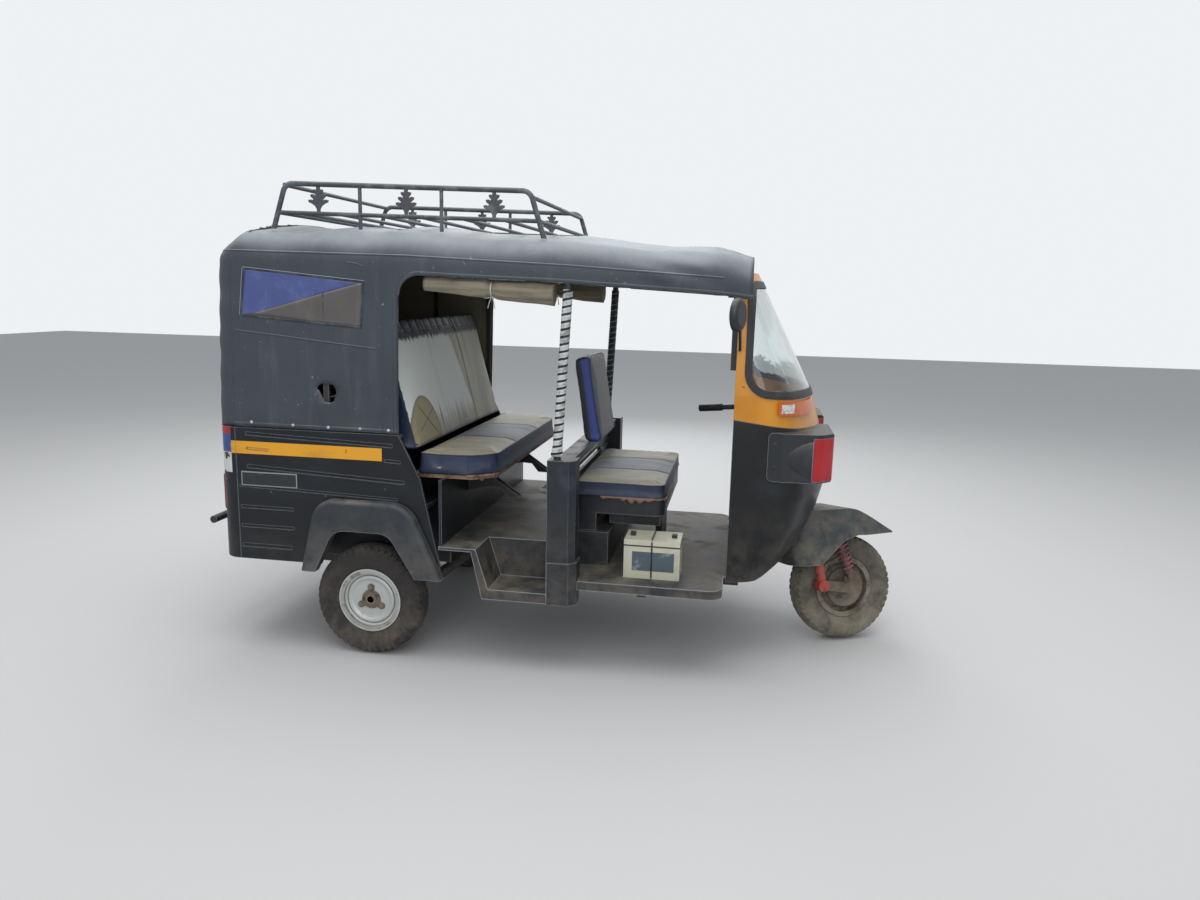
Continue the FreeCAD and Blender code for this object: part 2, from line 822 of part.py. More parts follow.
def rackTop(x):
    share = (x - rackRear) / (rackFront - rackRear)
    return rackRearTop + (rackFrontTop - rackRearTop) * share


def rackLow(x):
    return rackTop(x) - rackLowDrop


def roofRack():
    pieces = []
    for side in (right, left):
        y = side * rackHalf
        hoopPath = [(rackRear, y, rackRearFoot), (rackRear + rackRearLean, y, rackRearTop),
                    (rackFront - rackFrontLean, y, rackFrontTop), (rackFront, y, rackFrontFoot)]
        pieces.append(bentRod(hoopPath, rackTube, 45))
        ends = [rackRear + 24, rackFront - 24]
        pieces.append(rod([(x, y, rackLow(x)) for x in ends], rackTube - 2))
        for x in rackUprights:
            foot = rackRearFoot + (rackFrontFoot - rackRearFoot) * (x - rackRear) / (rackFront - rackRear)
            pieces.append(rod([(x, y, foot + 4), (x, y, rackTop(x))], rackTube - 3))
    # Cross rails: x, height
    crossRails = [(rackRear + 60, rackTop(rackRear) - 6), (rackRear + 24, rackLow(rackRear)),
                  (rackFront - 56, rackTop(rackFront) - 24), (rackFront - 24, rackLow(rackFront))]
    for x, z in crossRails:
        pieces.append(rod([(x, -rackHalf, z), (x, rackHalf, z)], rackTube - 2))
    for x in rackSlats:
        pieces.append(rod([(x, -rackHalf, rackLow(x)), (x, rackHalf, rackLow(x))], rackTube - 3))
    return fuse(pieces)


# Pillars, posts and partition

def pillar():
    outline = [(pillarRear, -pillarOuter), (pillarFront - 26, -pillarOuter), (pillarFront, -pillarOuter + 26),
               (pillarFront, -pillarInner), (pillarRear, -pillarInner)]
    column = planSlab(outline, stepTop, pillarTop)
    guard = [(pillarRear + 4, -pillarOuter - 6), (pillarFront - 20, -pillarOuter - 6),
             (pillarFront + 8, -pillarOuter + 24), (pillarFront + 8, -pillarInner), (pillarRear + 4, -pillarInner)]
    foot = planSlab(guard, pillarBottom, 490)
    return fuse([column, foot])


postRadius = 15.0


def roofPost():
    return rod([(832, -652, pillarTop - 6), (866, -638, 1652)], postRadius)


def partition():
    barHalf = pillarInner
    pieces = [box(pillarRear + 20, pillarRear + 92, -barHalf, barHalf, 885, 920)]
    for z in (770, 815):
        pieces.append(box(pillarRear + 30, pillarRear + 50, -barHalf, barHalf, z, z + 20))
    for y in (-360, 360):
        pieces.append(box(pillarRear + 30, pillarRear + 50, y - 12, y + 12, floorTop, 885))
    pieces.append(box(pillarRear + 34, pillarRear + 42, -barHalf, barHalf, floorTop, 760))
    return fuse(pieces)


# Seats

def passengerSeat():
    board = box(200, 548, -640, 640, seatBoardTop, seatBoardTop + 16)
    board = board.cut(planSlab([(548, -640), (460, -640), (548, -560)], 700, 900))
    cushionTop = [(215, -655, 30), (440, -655, 60), (562, -560, 60), (562, 560, 60), (440, 655, 60), (215, 655, 30)]
    cushion = roundedPlan(cushionTop, seatBoardTop + 16, 925)
    low = 925 + runGap
    back = sideSlab([(218, low), (70, 1500), (-6, 1484), (104, low)], -640, 640)
    return board, cushion, back


def driverSeat():
    cushion = roundedPlan([(856, -430, 20), (1275, -430, 60), (1275, 430, 60), (856, 430, 20)], 722, 792)
    pan = roundedPlan([(870, -400, 20), (1262, -400, 50), (1262, 400, 50), (870, 400, 20)], 640, 722)
    tank = box(1010, 1240, -330, 330, 580, 640)
    boxes = box(880, 1020, -425, 425, driverFloorTop, 560)
    legs = box(880, 960, -400, 400, 560, 640)
    base = fuse([pan, tank, boxes, legs, box(1200, 1232, -120, 120, driverFloorTop, 600)])
    low = 920 + runGap
    backBody = sideSlab([(868, low), (945, low), (880, 1334), (804, 1318)], -215, 215)
    return cushion, base, backBody


def battery():
    case = box(1110, 1350, -560, -400, driverFloorTop, 575)
    return case


# Ends of the rolled curtain: x, radius
curtainEnds = [(262, 37), (806, 54)]
curtainInset = 22.0


def underRail(x, radius):
    """Centre of a round roll that hangs against the inner underside of the roof rail."""
    a, b = roofSections[0], roofSections[1]
    share = (x - a[0]) / (b[0] - a[0])
    rail = railPoint(x, a[1] + (b[1] - a[1]) * share, a[3] + (b[3] - a[3]) * share, right)
    reach = railTube + radius + runGap
    return Vector(x, rail[1] + curtainInset, rail[2] - math.sqrt(reach ** 2 - curtainInset ** 2))


def curtain():
    """Side curtain rolled up and tied under the roof rail."""
    (rearX, rearRadius), (frontX, frontRadius) = curtainEnds
    start = underRail(rearX, rearRadius)
    end = underRail(frontX, frontRadius)
    return Part.makeCone(rearRadius, frontRadius, (end - start).Length, start, end - start)


# Engine and rear suspension

def engineBlock():
    return box(-470, 120, -225, 225, 262, 660)


armPivotX = 380.0
armTube = 24.0
hubInner = 44.0


def rearArms():
    """Trailing arm from its pivot under the rail to the hub, with the drive shaft."""
    hubY = rearTrack / 2 - hubInner - runGap
    shaft = Part.makeCylinder(17, hubY - 225 - runGap, Vector(0, -hubY, tyreRadius), Vector(0, 1, 0))
    pivotZ = railRearTop - railDeep - armTube - runGap
    arm = rod([(0, -hubY + 60, tyreRadius), (250, -420, 318), (armPivotX, -railHalf - 30, pivotZ)], armTube)
    pivot = Part.makeCylinder(armTube, railWide, Vector(armPivotX, -railHalf - railWide, pivotZ), Vector(0, 1, 0))
    drum = Part.makeCylinder(80, 30, Vector(0, -hubY + 8, tyreRadius), Vector(0, 1, 0))
    return fuse([shaft, arm, pivot, drum])


# Wheels

def wheelTyre(centre):
    half = tyreWidth / 2
    seat = beadRadius + runGap
    profile = [(seat, -37), (flangeRadius, -37), (flangeRadius + 6, -46), (185, -half + 2), (205, -half),
               (228, -half + 4), (241, -half + 16), (tyreRadius - 1.5, -26), (tyreRadius, 0)]
    whole = profile + [(r, -y) for r, y in reversed(profile[:-1])]
    return spun(whole, centre)


def wheelRim(centre):
    """Rim, dished disc and hub; the dish opens to the right."""
    wall = 6.0
    barrel = [(beadRadius - wall, -43), (flangeRadius, -43), (flangeRadius, -38), (beadRadius, -37.5),
              (beadRadius, 37.5), (flangeRadius, 38), (flangeRadius, 43), (beadRadius - wall, 43)]
    disc = [(beadRadius - wall + 1, -8), (108, -8), (96, -20), (78, -22), (70, -10), (44, -10), (44, -4),
            (68, -4), (76, -14), (94, -14), (104, -2), (beadRadius - wall + 1, -2)]
    hub = [(0, -34), (18, -34), (24, -26), (24, -22), (50, -20), (50, -2), (72, 0), (72, 44), (0, 44)]
    whole = fuse([spun(barrel, centre), spun(disc, centre), spun(hub, centre)])
    return whole


# Front suspension and steering, straight ahead

legY = -114.0
pivotBack = 62.0
pivotHeight = 268.0
linkWide = 24.0
hubFace = 34.0
shockTube = 20.0


def steeringColumn():
    """Steered tube that bends past the tyre to the pivot of the leading link."""
    top = steeringPoint(gripHeight - 18)
    low = steeringPoint(590)
    pivotX = axisAtWheel - pivotBack
    leg = bentRod([tuple(top), tuple(low), (1862, -62, 500), (1912, legY, 420), (pivotX, legY, pivotHeight)],
                  legTube, 34)
    boss = Part.makeCylinder(28, 2 * legTube + 4, Vector(pivotX, legY - legTube - 4, pivotHeight), Vector(0, 1, 0))
    eye = shockTop()
    arm = rod([(1890, legY + 8, 455), (eye.x - 4, eye.y, eye.z)], 11)
    pin = Part.makeCylinder(15, 30, eye - Vector(0, 15, 0), Vector(0, 1, 0))
    return fuse([leg, boss, arm, pin])


def shockTop():
    return Vector(steeringX(540) + 128, legY + 6, 540)


def shockFoot():
    return Vector(wheelbase - 10, legY + 6, tyreRadius + 64)


def handlebar():
    z = gripHeight
    x = steeringX(z)
    bar = bentRod([(x - 170, -gripSpread, z - 6), (x - 30, -170, z), (x - 30, 170, z),
                   (x - 170, gripSpread, z - 6)], 13, 60)
    head = box(x - 62, x + 30, -95, 95, z - 40, z + 34)
    grips = []
    for side in (right, left):
        end = Vector(x - 170, side * gripSpread, z - 6)
        inward = (Vector(x - 30, side * 170, z) - end).normalize()
        grips.append(Part.makeCylinder(18, 120, end, inward))
    return fuse([bar, head] + grips)


def frontLink():
    """Leading link with its brake plate and the stub axle that ends at the hub."""
    pivotX = axisAtWheel - pivotBack
    inner = legY + legTube + runGap
    outline = [(pivotX - 24, pivotHeight + 22, 16), (pivotX - 24, pivotHeight - 22, 16),
               (wheelbase + 24, tyreRadius - 24, 16), (wheelbase + 24, tyreRadius + 24, 16)]
    arm = roundedSide(outline, inner, inner + linkWide)
    reach = -hubFace - runGap - inner
    axle = Part.makeCylinder(14, reach, Vector(wheelbase, inner, tyreRadius), Vector(0, 1, 0))
    plate = Part.makeCylinder(92, 10, Vector(wheelbase, -52, tyreRadius), Vector(0, 1, 0))
    foot = shockFoot()
    stud = Part.makeCylinder(12, 46, Vector(foot.x, legY - 10, foot.z), Vector(0, 1, 0))
    ear = sideSlab([(foot.x - 16, tyreRadius), (foot.x + 16, tyreRadius), (foot.x + 12, foot.z + 8),
                    (foot.x - 12, foot.z + 8)], inner, inner + 14)
    return fuse([arm, axle, plate, stud, ear])


def frontShock():
    top = shockTop()
    foot = shockFoot()
    along = (top - foot).normalize()
    start = foot + along * (12 + runGap)
    end = top - along * (18 + runGap)
    return Part.makeCylinder(shockTube, (end - start).Length, start, along)


mudHalf = 145.0
mudSheet = 5.0


def mudguardForm(inset):
    side = [(1782 + inset, 340, 0), (1790 + inset, 618 - inset, 110), (2079, 632 - inset, 160),
            (2352 - inset, 506, 0), (2352 - inset, 340, 0)]
    plan = [(1782 + inset, -mudHalf + inset, 90), (2150, -mudHalf + inset, 200), (2352 - inset, -40 + inset / 2, 30),
            (2352 - inset, 40 - inset / 2, 30), (2150, mudHalf - inset, 200), (1782 + inset, mudHalf - inset, 90)]
    return roundedSide(side, -300, 300).common(roundedPlan(plan, 300, 700))


def frontMudguard():
    shell = mudguardForm(0).cut(mudguardForm(mudSheet).cut(box(1700, 2500, -300, 300, 0, 300)))
    hem = [(1700, 300), (1700, 355), (1919, 367), (2035, 478), (2102, 504), (2500, 504), (2500, 300)]
    shell = shell.cut(sideSlab(hem, -300, 300))
    hole = Part.makeCylinder(legTube + runGap, 400, steeringPoint(450), steeringDirection())
    return shell.cut(hole)


def build():
    nodes = {}
    pillars = pair(pillar())
    frame = chassisRails().cut(pillars)
    members = crossMembers()
    nodes["chassis_rails"] = frame
    nodes["cross_members"] = members
    nodes["pillars"] = pillars
    nodes["floor_pan"] = floorPan().cut([frame, members, pillars])
    head = steeringHead()
    nodes["steering_head"] = head
    nodes["driver_floor"] = driverFloor().cut([frame, members, pillars, head])
    nodes["rear_deck"] = rearDeck().cut([frame, members])
    nodes["side_panel_right"] = sidePanel()
    nodes["side_panel_left"] = mirrored(sidePanel())
    nodes["rear_panel"] = rearPanel()
    nodes["engine_lid"] = engineLid()
    nodes["tail_lamps"] = pair(tailLamp())
    nodes["rear_fenders"] = pair(rearFender())
    nodes["partition"] = partition()
    rails = roofRails()
    nodes["roof_rails"] = rails
    nodes["canopy_hoops"] = Part.makeCompound([bar.cut(rails) for bar in canopyHoops()])
    nodes["roof_posts"] = pair(roofPost().cut([rails, nodes["canopy_hoops"], pillars]))
    nodes["canopy_rear"] = canopyRear()
    nodes["canopy_roof"] = canopyRoof()
    nodes["roof_rack"] = roofRack().cut([rearCanopyForm(0, canopySplit), roofForm(0, 0)])
    nodes["curtain_rolls"] = pair(curtain())
    board, cushion, back = passengerSeat()
    nodes["passenger_seat_board"] = board
    nodes["passenger_cushion"] = cushion
    nodes["passenger_backrest"] = back
    cushion, base, back = driverSeat()
    nodes["driver_cushion"] = cushion
    nodes["driver_seat_base"] = base.cut([frame, members])
    nodes["driver_backrest"] = back
    nodes["battery"] = battery()
    shell = cowlShell()
    nodes["front_cowl_lower"] = cowlLower(shell)
    nodes["front_cowl_upper"] = cowlUpper(shell)
    gasket, pane = gasketAndGlass()
    nodes["windshield_gasket"] = gasket
    nodes["windshield"] = pane
    housing, lens = headlamps()
    nodes["headlamp_housings"] = pair(housing)
    nodes["headlamp_lenses"] = pair(lens)
    nodes["indicators"] = pair(indicator())
    nodes["dashboard"] = dashboard()
    nodes["mirrors"] = pair(mirror().cut(nodes["front_cowl_upper"]))
    nodes["engine"] = engineBlock()
    nodes["rear_arms"] = pair(rearArms())
    nodes["rear_bumper"] = rearBumper()
    centre = Vector(0, -rearTrack / 2, tyreRadius)
    nodes["rear_tyre_right"] = wheelTyre(centre)
    nodes["rear_rim_right"] = wheelRim(centre)
    nodes["rear_tyre_left"] = mirrored(nodes["rear_tyre_right"])
    nodes["rear_rim_left"] = mirrored(nodes["rear_rim_right"])
    front = Vector(wheelbase, 0, tyreRadius)
    column = steeringColumn()
    steered = {
        "front_tyre": wheelTyre(front),
        "front_rim": wheelRim(front),
        "steering_column": column,
        "handlebar": handlebar().cut(column),
        "front_link": frontLink(),
        "front_shock": frontShock(),
        "front_mudguard": frontMudguard().cut(column),
    }
    for name, shape in steered.items():
        shape.rotate(steeringPoint(tyreRadius), steeringDirection(), parkedTurn)
    rise = -steered["front_tyre"].optimalBoundingBox().ZMin
    slide = steeringDirection() * (rise / steeringDirection().z)
    for name, shape in steered.items():
        shape.translate(slide)
        nodes[name] = shape
    return nodes, slide


def centreBase(nodes):
    """Shift that brings the middle of the base to the origin."""
    whole = Part.makeCompound(list(nodes.values())).optimalBoundingBox()
    return Vector(-(whole.XMin + whole.XMax) / 2, 0, -whole.ZMin)


os.makedirs("parts", exist_ok=True)
nodes, slide = build()
shift = centreBase(nodes)
print("rear axle at", shift.x, shift.z)
turn = FreeCAD.Rotation(steeringDirection(), parkedTurn)
wheelPlace = steeringPoint(tyreRadius) + turn.multVec(Vector(wheelbase - axisAtWheel, 0, 0)) + slide + shift
print("front wheel centre", wheelPlace, "axle", turn.multVec(Vector(0, 1, 0)))
for name, shape in nodes.items():
    shape.translate(shift)
    shape.exportStep("parts/" + name + ".step")
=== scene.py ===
import json
import math
from math import cos, exp, hypot, pi, radians, sin

import bmesh
import bpy
from mathutils import Matrix, Vector, noise
from mathutils.bvhtree import BVHTree


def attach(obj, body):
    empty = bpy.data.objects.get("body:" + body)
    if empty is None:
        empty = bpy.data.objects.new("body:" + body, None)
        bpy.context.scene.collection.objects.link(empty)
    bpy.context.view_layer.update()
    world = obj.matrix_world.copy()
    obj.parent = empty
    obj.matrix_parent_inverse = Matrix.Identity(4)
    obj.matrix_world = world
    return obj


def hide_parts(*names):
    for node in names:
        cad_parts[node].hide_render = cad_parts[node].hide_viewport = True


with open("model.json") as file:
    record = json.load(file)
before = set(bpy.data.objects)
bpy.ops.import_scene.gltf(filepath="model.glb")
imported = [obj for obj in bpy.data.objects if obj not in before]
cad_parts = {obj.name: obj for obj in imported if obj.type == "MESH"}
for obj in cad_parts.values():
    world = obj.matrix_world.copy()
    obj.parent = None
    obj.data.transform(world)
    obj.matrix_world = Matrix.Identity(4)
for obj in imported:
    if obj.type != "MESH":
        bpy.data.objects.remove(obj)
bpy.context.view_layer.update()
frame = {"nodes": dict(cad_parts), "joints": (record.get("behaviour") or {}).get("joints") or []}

# Auto rickshaw. Places are written in millimetres from the middle of the rear axle on the
# ground: x forward, y to the vehicle's left, z up. at() turns them into the frame's metres.
# Colours are written as they look on a screen.

nodes = frame["nodes"]
joints = {j["name"]: j for j in frame["joints"]}
axleX = joints["rear_right_spin"]["pos_m"][0]
millimetre = 0.001
circle = 2 * pi
sides = (("Right", -1), ("Left", 1))


def at(x, y, z):
    return Vector((x * millimetre + axleX, y * millimetre, z * millimetre))


def link(name, data):
    holder = bpy.data.objects.new(name, data)
    bpy.context.scene.collection.objects.link(holder)
    return holder


def ramp(value, start, length):
    return max(0.0, min(1.0, (value - start) / length))


# Shader nodes. A Value is one output of a node, and sums of Values are written as sums.

class Value:
    def __init__(self, socket):
        self.socket = socket
        self.tree = socket.id_data

    def __add__(self, other):
        return calc("ADD", self, other)

    def __sub__(self, other):
        return calc("SUBTRACT", self, other)

    def __rsub__(self, other):
        return calc("SUBTRACT", other, self)

    def __mul__(self, other):
        return calc("MULTIPLY", self, other)

    def __truediv__(self, other):
        return calc("DIVIDE", self, other)


class Outputs:
    def __init__(self, node):
        self.node = node

    def __getitem__(self, key):
        return Value(self.node.outputs[key])


def linear(code):
    values = [int(code[i:i + 2], 16) / 255 for i in (1, 3, 5)]
    return (*(v / 12.92 if v <= 0.04045 else ((v + 0.055) / 1.055) ** 2.4 for v in values), 1.0)


def addNode(tree, kind, inputs=None, **settings):
    node = tree.nodes.new(kind)
    for name, value in settings.items():
        setattr(node, name, value)
    for name, value in (inputs or {}).items():
        if isinstance(value, Value):
            tree.links.new(value.socket, node.inputs[name])
        else:
            node.inputs[name].default_value = value
    return Outputs(node)


def calc(operation, a, b=0.0):
    tree = (a if isinstance(a, Value) else b).tree
    return addNode(tree, "ShaderNodeMath", {0: a, 1: b}, operation=operation)[0]


def clamped(value):
    value.socket.node.use_clamp = True
    return value


def spread(value, low, high):
    return addNode(value.tree, "ShaderNodeMapRange",
                   {"Value": value, "From Min": low, "From Max": high},
                   interpolation_type="SMOOTHSTEP")["Result"]


def blend(factor, under, over):
    under, over = (linear(c) if isinstance(c, str) else c for c in (under, over))
    return addNode(factor.tree, "ShaderNodeMix", {0: factor, 6: under, 7: over},
                   data_type="RGBA")[2]


def objectPlace(tree):
    return addNode(tree, "ShaderNodeTexCoord")["Object"]


def objectAxes(tree):
    split = addNode(tree, "ShaderNodeSeparateXYZ", {0: objectPlace(tree)})
    return split["X"], split["Y"], split["Z"]


def surfaceNormal(tree):
    return addNode(tree, "ShaderNodeNewGeometry")["Normal"]


def normalUp(tree):
    return addNode(tree, "ShaderNodeSeparateXYZ", {0: surfaceNormal(tree)})["Z"]


def cloud(place, scale, detail, roughness=0.5, distortion=0.0):
    return addNode(place.tree, "ShaderNodeTexNoise",
                   {"Vector": place, "Scale": scale, "Detail": detail, "Roughness": roughness,
                    "Distortion": distortion})["Fac"]


# Camera and stage

camera = {"place": (1589, -4150, 1620), "yaw": 9.37, "pitch": 10.35, "roll": 1.33,
          "focalPixels": 877.4, "imageWidth": 1200, "sensor": 36.0, "farthest": 100}
stage = {"floorSize": 40.0, "floorColour": (0.50, 0.505, 0.51), "floorRoughness": 0.9,
         "skyColour": (0.90, 0.93, 0.96), "skyStrength": 0.55,
         "backdropColour": (0.86, 0.88, 0.90), "backdropStrength": 1.0}
lamps = [  # name, place, aim, size, watts, colour
    ("overhead", (-0.2, -0.4, 6.4), (0.0, 0.0, 1.0), 7.0, 400, (1.0, 0.99, 0.97)),
    ("nearSide", (1.2, -7.4, 4.6), (0.0, 0.0, 0.9), 6.0, 190, (1.0, 1.0, 1.0)),
    ("farSide", (-1.0, 5.2, 3.6), (0.0, 0.0, 0.9), 4.0, 110, (0.96, 0.98, 1.0)),
]


def makeCamera():
    yaw, pitch, roll = (radians(camera[k]) for k in ("yaw", "pitch", "roll"))
    forward = Vector((-sin(yaw) * cos(pitch), cos(yaw) * cos(pitch),
                      -sin(pitch)))
    level = Vector((cos(yaw), sin(yaw), 0))
    below = forward.cross(level)
    rightWay = cos(roll) * level - sin(roll) * below
    down = cos(roll) * below + sin(roll) * level
    lens = bpy.data.cameras.new("photoCamera")
    lens.sensor_width = camera["sensor"]
    lens.lens = camera["focalPixels"] / camera["imageWidth"] * camera["sensor"]
    lens.clip_end = camera["farthest"]
    holder = link("photoCamera", lens)
    turn = Matrix((rightWay, -down, -forward)).transposed()
    holder.matrix_world = Matrix.Translation(at(*camera["place"])) @ turn.to_4x4()
    bpy.context.scene.camera = holder


def makeFloor():
    size = stage["floorSize"] / 2
    mesh = bpy.data.meshes.new("floor")
    mesh.from_pydata([(-size, -size, 0), (size, -size, 0), (size, size, 0), (-size, size, 0)], [],
                     [(0, 1, 2, 3)])
    pale = bpy.data.materials.new("floorPale")
    pale.use_nodes = True
    shader = pale.node_tree.nodes["Principled BSDF"]
    shader.inputs["Base Color"].default_value = (*stage["floorColour"], 1)
    shader.inputs["Roughness"].default_value = stage["floorRoughness"]
    mesh.materials.append(pale)
    link("floor", mesh)


def makeSky():
    world = bpy.data.worlds.new("softSky")
    bpy.context.scene.world = world
    world.use_nodes = True
    tree = world.node_tree
    tree.nodes.clear()
    ray = addNode(tree, "ShaderNodeLightPath")
    seen = calc("MAXIMUM", ray["Is Camera Ray"], ray["Is Glossy Ray"])
    through = calc("MAXIMUM", seen, ray["Is Transmission Ray"])
    light, backdrop = (addNode(tree, "ShaderNodeBackground", {
        "Color": (*stage[word + "Colour"], 1), "Strength": stage[word + "Strength"]})[0]
        for word in ("sky", "backdrop"))
    choice = addNode(tree, "ShaderNodeMixShader", {0: through, 1: light, 2: backdrop})[0]
    addNode(tree, "ShaderNodeOutputWorld", {"Surface": choice})


def makeLamps():
    for name, place, aim, size, watts, colour in lamps:
        lamp = bpy.data.lights.new(name, "AREA")
        lamp.size, lamp.energy, lamp.color = size, watts, colour
        holder = link(name, lamp)
        holder.location = place
        holder.rotation_euler = (Vector(aim) - Vector(place)).to_track_quat("-Z", "Y").to_euler()


makeCamera()
makeFloor()
makeSky()
makeLamps()
bpy.context.scene.view_settings.view_transform = "Standard"
print("camera and stage ready")


# Shader groups, each used by more than one finish

def patches(tree, entry):
    place = objectPlace(tree)
    moved = addNode(tree, "ShaderNodeVectorMath", {0: place, 1: entry["Stretch"]},
                    operation="MULTIPLY")[0]
    low = 0.74 - entry["Share"] * 0.5
    mask = spread(cloud(moved, entry["Scale"], 7.0, 0.62, 0.3), low, low + entry["Softness"])
    return {"Mask": mask, "Speck": cloud(place, 420.0, 3.0)}


def edgeRub(tree, entry):
    soft = addNode(tree, "ShaderNodeBevel", {"Radius": entry["Radius"]}, samples=4)[0]
    same = addNode(tree, "ShaderNodeVectorMath", {0: soft, 1: surfaceNormal(tree)},
                   operation="DOT_PRODUCT")["Value"]
    need = 1.05 - entry["Amount"] * 0.75
    rubbed = spread(1.0 - same, 0.02, 0.16) * cloud(objectPlace(tree), 38.0, 6.0, 0.7)
    return {"Mask": clamped((rubbed - need * 0.42) * 9.0)}


def settledDust(tree, entry):
    fog = cloud(objectPlace(tree), 9.0, 8.0, 0.68)
    lying = spread(normalUp(tree), 0.1, 0.95) * spread(fog, 0.3, 0.75)
    near = clamped(1.0 - objectAxes(tree)[2] / entry["Edge"])
    splash = near * spread(fog, 0.35, 0.65)
    return {"Mask": clamped(calc("MAXIMUM", lying, splash) * entry["Amount"])}


def leatherGrain(tree, entry):
    place = objectPlace(tree)
    cells = addNode(tree, "ShaderNodeTexVoronoi", {"Vector": place, "Scale": entry["Scale"]},
                    feature="DISTANCE_TO_EDGE")["Distance"]
    return {"Height": spread(cells, 0.0, 0.25) + cloud(place, 30.0, 5.0) * 1.6}


def clothWeave(tree, entry):
    place = objectPlace(tree)
    x, y, z = (addNode(tree, "ShaderNodeTexWave",
                       {"Vector": place, "Scale": entry["Scale"], "Distortion": 0.6},
                       bands_direction=way)["Fac"] for way in "XYZ")
    return {"Height": x * z + y * 0.5}


def brushStrokes(tree, entry):
    _, y, z = objectAxes(tree)
    flat = addNode(tree, "ShaderNodeCombineXYZ", {"Y": y, "Z": z * entry["Along"]})[0]
    return {"Value": cloud(flat, entry["Scale"], 4.0, 0.6)}


def makeGroup(build, inputs):
    tree = bpy.data.node_groups.new(build.__name__, "ShaderNodeTree")
    for label, start in inputs.items():
        kind = "NodeSocketVector" if isinstance(start, tuple) else "NodeSocketFloat"
        tree.interface.new_socket(label, in_out="INPUT", socket_type=kind).default_value = start
    results = build(tree, addNode(tree, "NodeGroupInput"))
    for label in results:
        tree.interface.new_socket(label, in_out="OUTPUT", socket_type="NodeSocketFloat")
    addNode(tree, "NodeGroupOutput", results)
    return tree


groups = {build.__name__: makeGroup(build, inputs) for build, inputs in (
    (patches, {"Scale": 6.0, "Share": 0.4, "Softness": 0.12, "Stretch": (1, 1, 1)}),
    (edgeRub, {"Amount": 0.5, "Radius": 0.006}),
    (settledDust, {"Amount": 0.4, "Edge": 0.35}),
    (leatherGrain, {"Scale": 700.0}),
    (clothWeave, {"Scale": 500.0}),
    (brushStrokes, {"Scale": 60.0, "Along": 0.06}),
)}


def useGroup(tree, name, **inputs):
    return addNode(tree, "ShaderNodeGroup", inputs, node_tree=groups[name])


def patchMask(tree, scale=6.0, share=0.4, softness=0.12, stretch=(1, 1, 1)):
    return useGroup(tree, "patches", Scale=scale, Share=share, Softness=softness,
                    Stretch=stretch)["Mask"]


def inBand(value, low, high, soft=0.0015):
    return clamped(spread(value, low - soft, low + soft) - spread(value, high - soft, high + soft))


def chipped(mask, scale, share):
    return mask * (1.0 - patchMask(mask.tree, scale, share, 0.03))


# Finishes. Each has a colour and a roughness. patch: colour, roughness, scale, share, softness.
# worn: colour, amount, radius. dust: colour, amount, low edge. streak: colour, scale, share.
# bump: group, scale, depth, strength. marks: a function that paints by place on the object.

finishes = {}


def newMaterial(name):
    material = bpy.data.materials.new(name)
    material.use_nodes = True
    finishes[name] = material
    return material.node_tree, material.node_tree.nodes["Principled BSDF"].inputs


def finish(name, colour, roughness, patch=None, worn=None, dust=None, streak=None, bump=None,
           marks=None, metallic=0.0, coat=0.0, specular=0.5):
    tree, entry = newMaterial(name)
    for label, value in (("Metallic", metallic), ("Coat Weight", coat),
                         ("Specular IOR Level", specular)):
        entry[label].default_value = value
    speck = useGroup(tree, "patches")["Speck"]
    colour = blend(speck * 0.16, colour, (0, 0, 0, 1))
    rough = speck * 0.12 + (roughness - 0.06)
    if patch:
        mask = patchMask(tree, *patch[2:])
        colour = blend(mask, colour, patch[0])
        if patch[1]:
            rough = rough + mask * (patch[1] - roughness)
    if marks:
        colour, rough = marks(tree, colour, rough)
    if streak:
        run = patchMask(tree, streak[1], streak[2], 0.3, (1, 1, 0.07))
        colour = blend(run, colour, streak[0])
    if worn:
        rub = useGroup(tree, "edgeRub", **dict(zip(("Amount", "Radius"), worn[1:])))
        colour = blend(rub["Mask"], colour, worn[0])
    if dust:
        lying = useGroup(tree, "settledDust", **dict(zip(("Amount", "Edge"), dust[1:])))["Mask"]
        colour = blend(lying, colour, dust[0])
        rough = clamped(rough + lying * 0.3)
    tree.links.new(colour.socket, entry["Base Color"])
    tree.links.new(rough.socket, entry["Roughness"])
    if bump:
        kind, scale, depth, strength = bump
        height = useGroup(tree, kind, Scale=scale)["Height"]
        relief = addNode(tree, "ShaderNodeBump",
                         {"Height": height, "Distance": depth, "Strength": strength})[0]
        tree.links.new(relief.socket, entry["Normal"])


glassBend = 1.45


def glassFinish(name, colour, rough, clear):
    tree, entry = newMaterial(name)
    for label, value in (("Base Color", linear(colour)), ("Transmission Weight", clear),
                         ("IOR", glassBend)):
        entry[label].default_value = value
    dusty = patchMask(tree, 5.0, 0.5, 0.5) * 0.10 + rough
    tree.links.new(dusty.socket, entry["Roughness"])


# Painted marks. Heights and lengths are in metres, lengths from the rear axle.

paint = {
    "stripeHeight": (0.883, 0.938), "stripeLength": (-0.690, 0.083), "yellow": "#e0a02b",
    "bandLength": (-0.712, -0.612), "bandAcross": (-0.710, -0.600), "bandSoft": 0.001,
    "bands": (("#30508e", 0.885, 0.965), ("#9c2a26", 0.965, 1.001), ("#c9cdcb", 0.796, 0.885)),
}


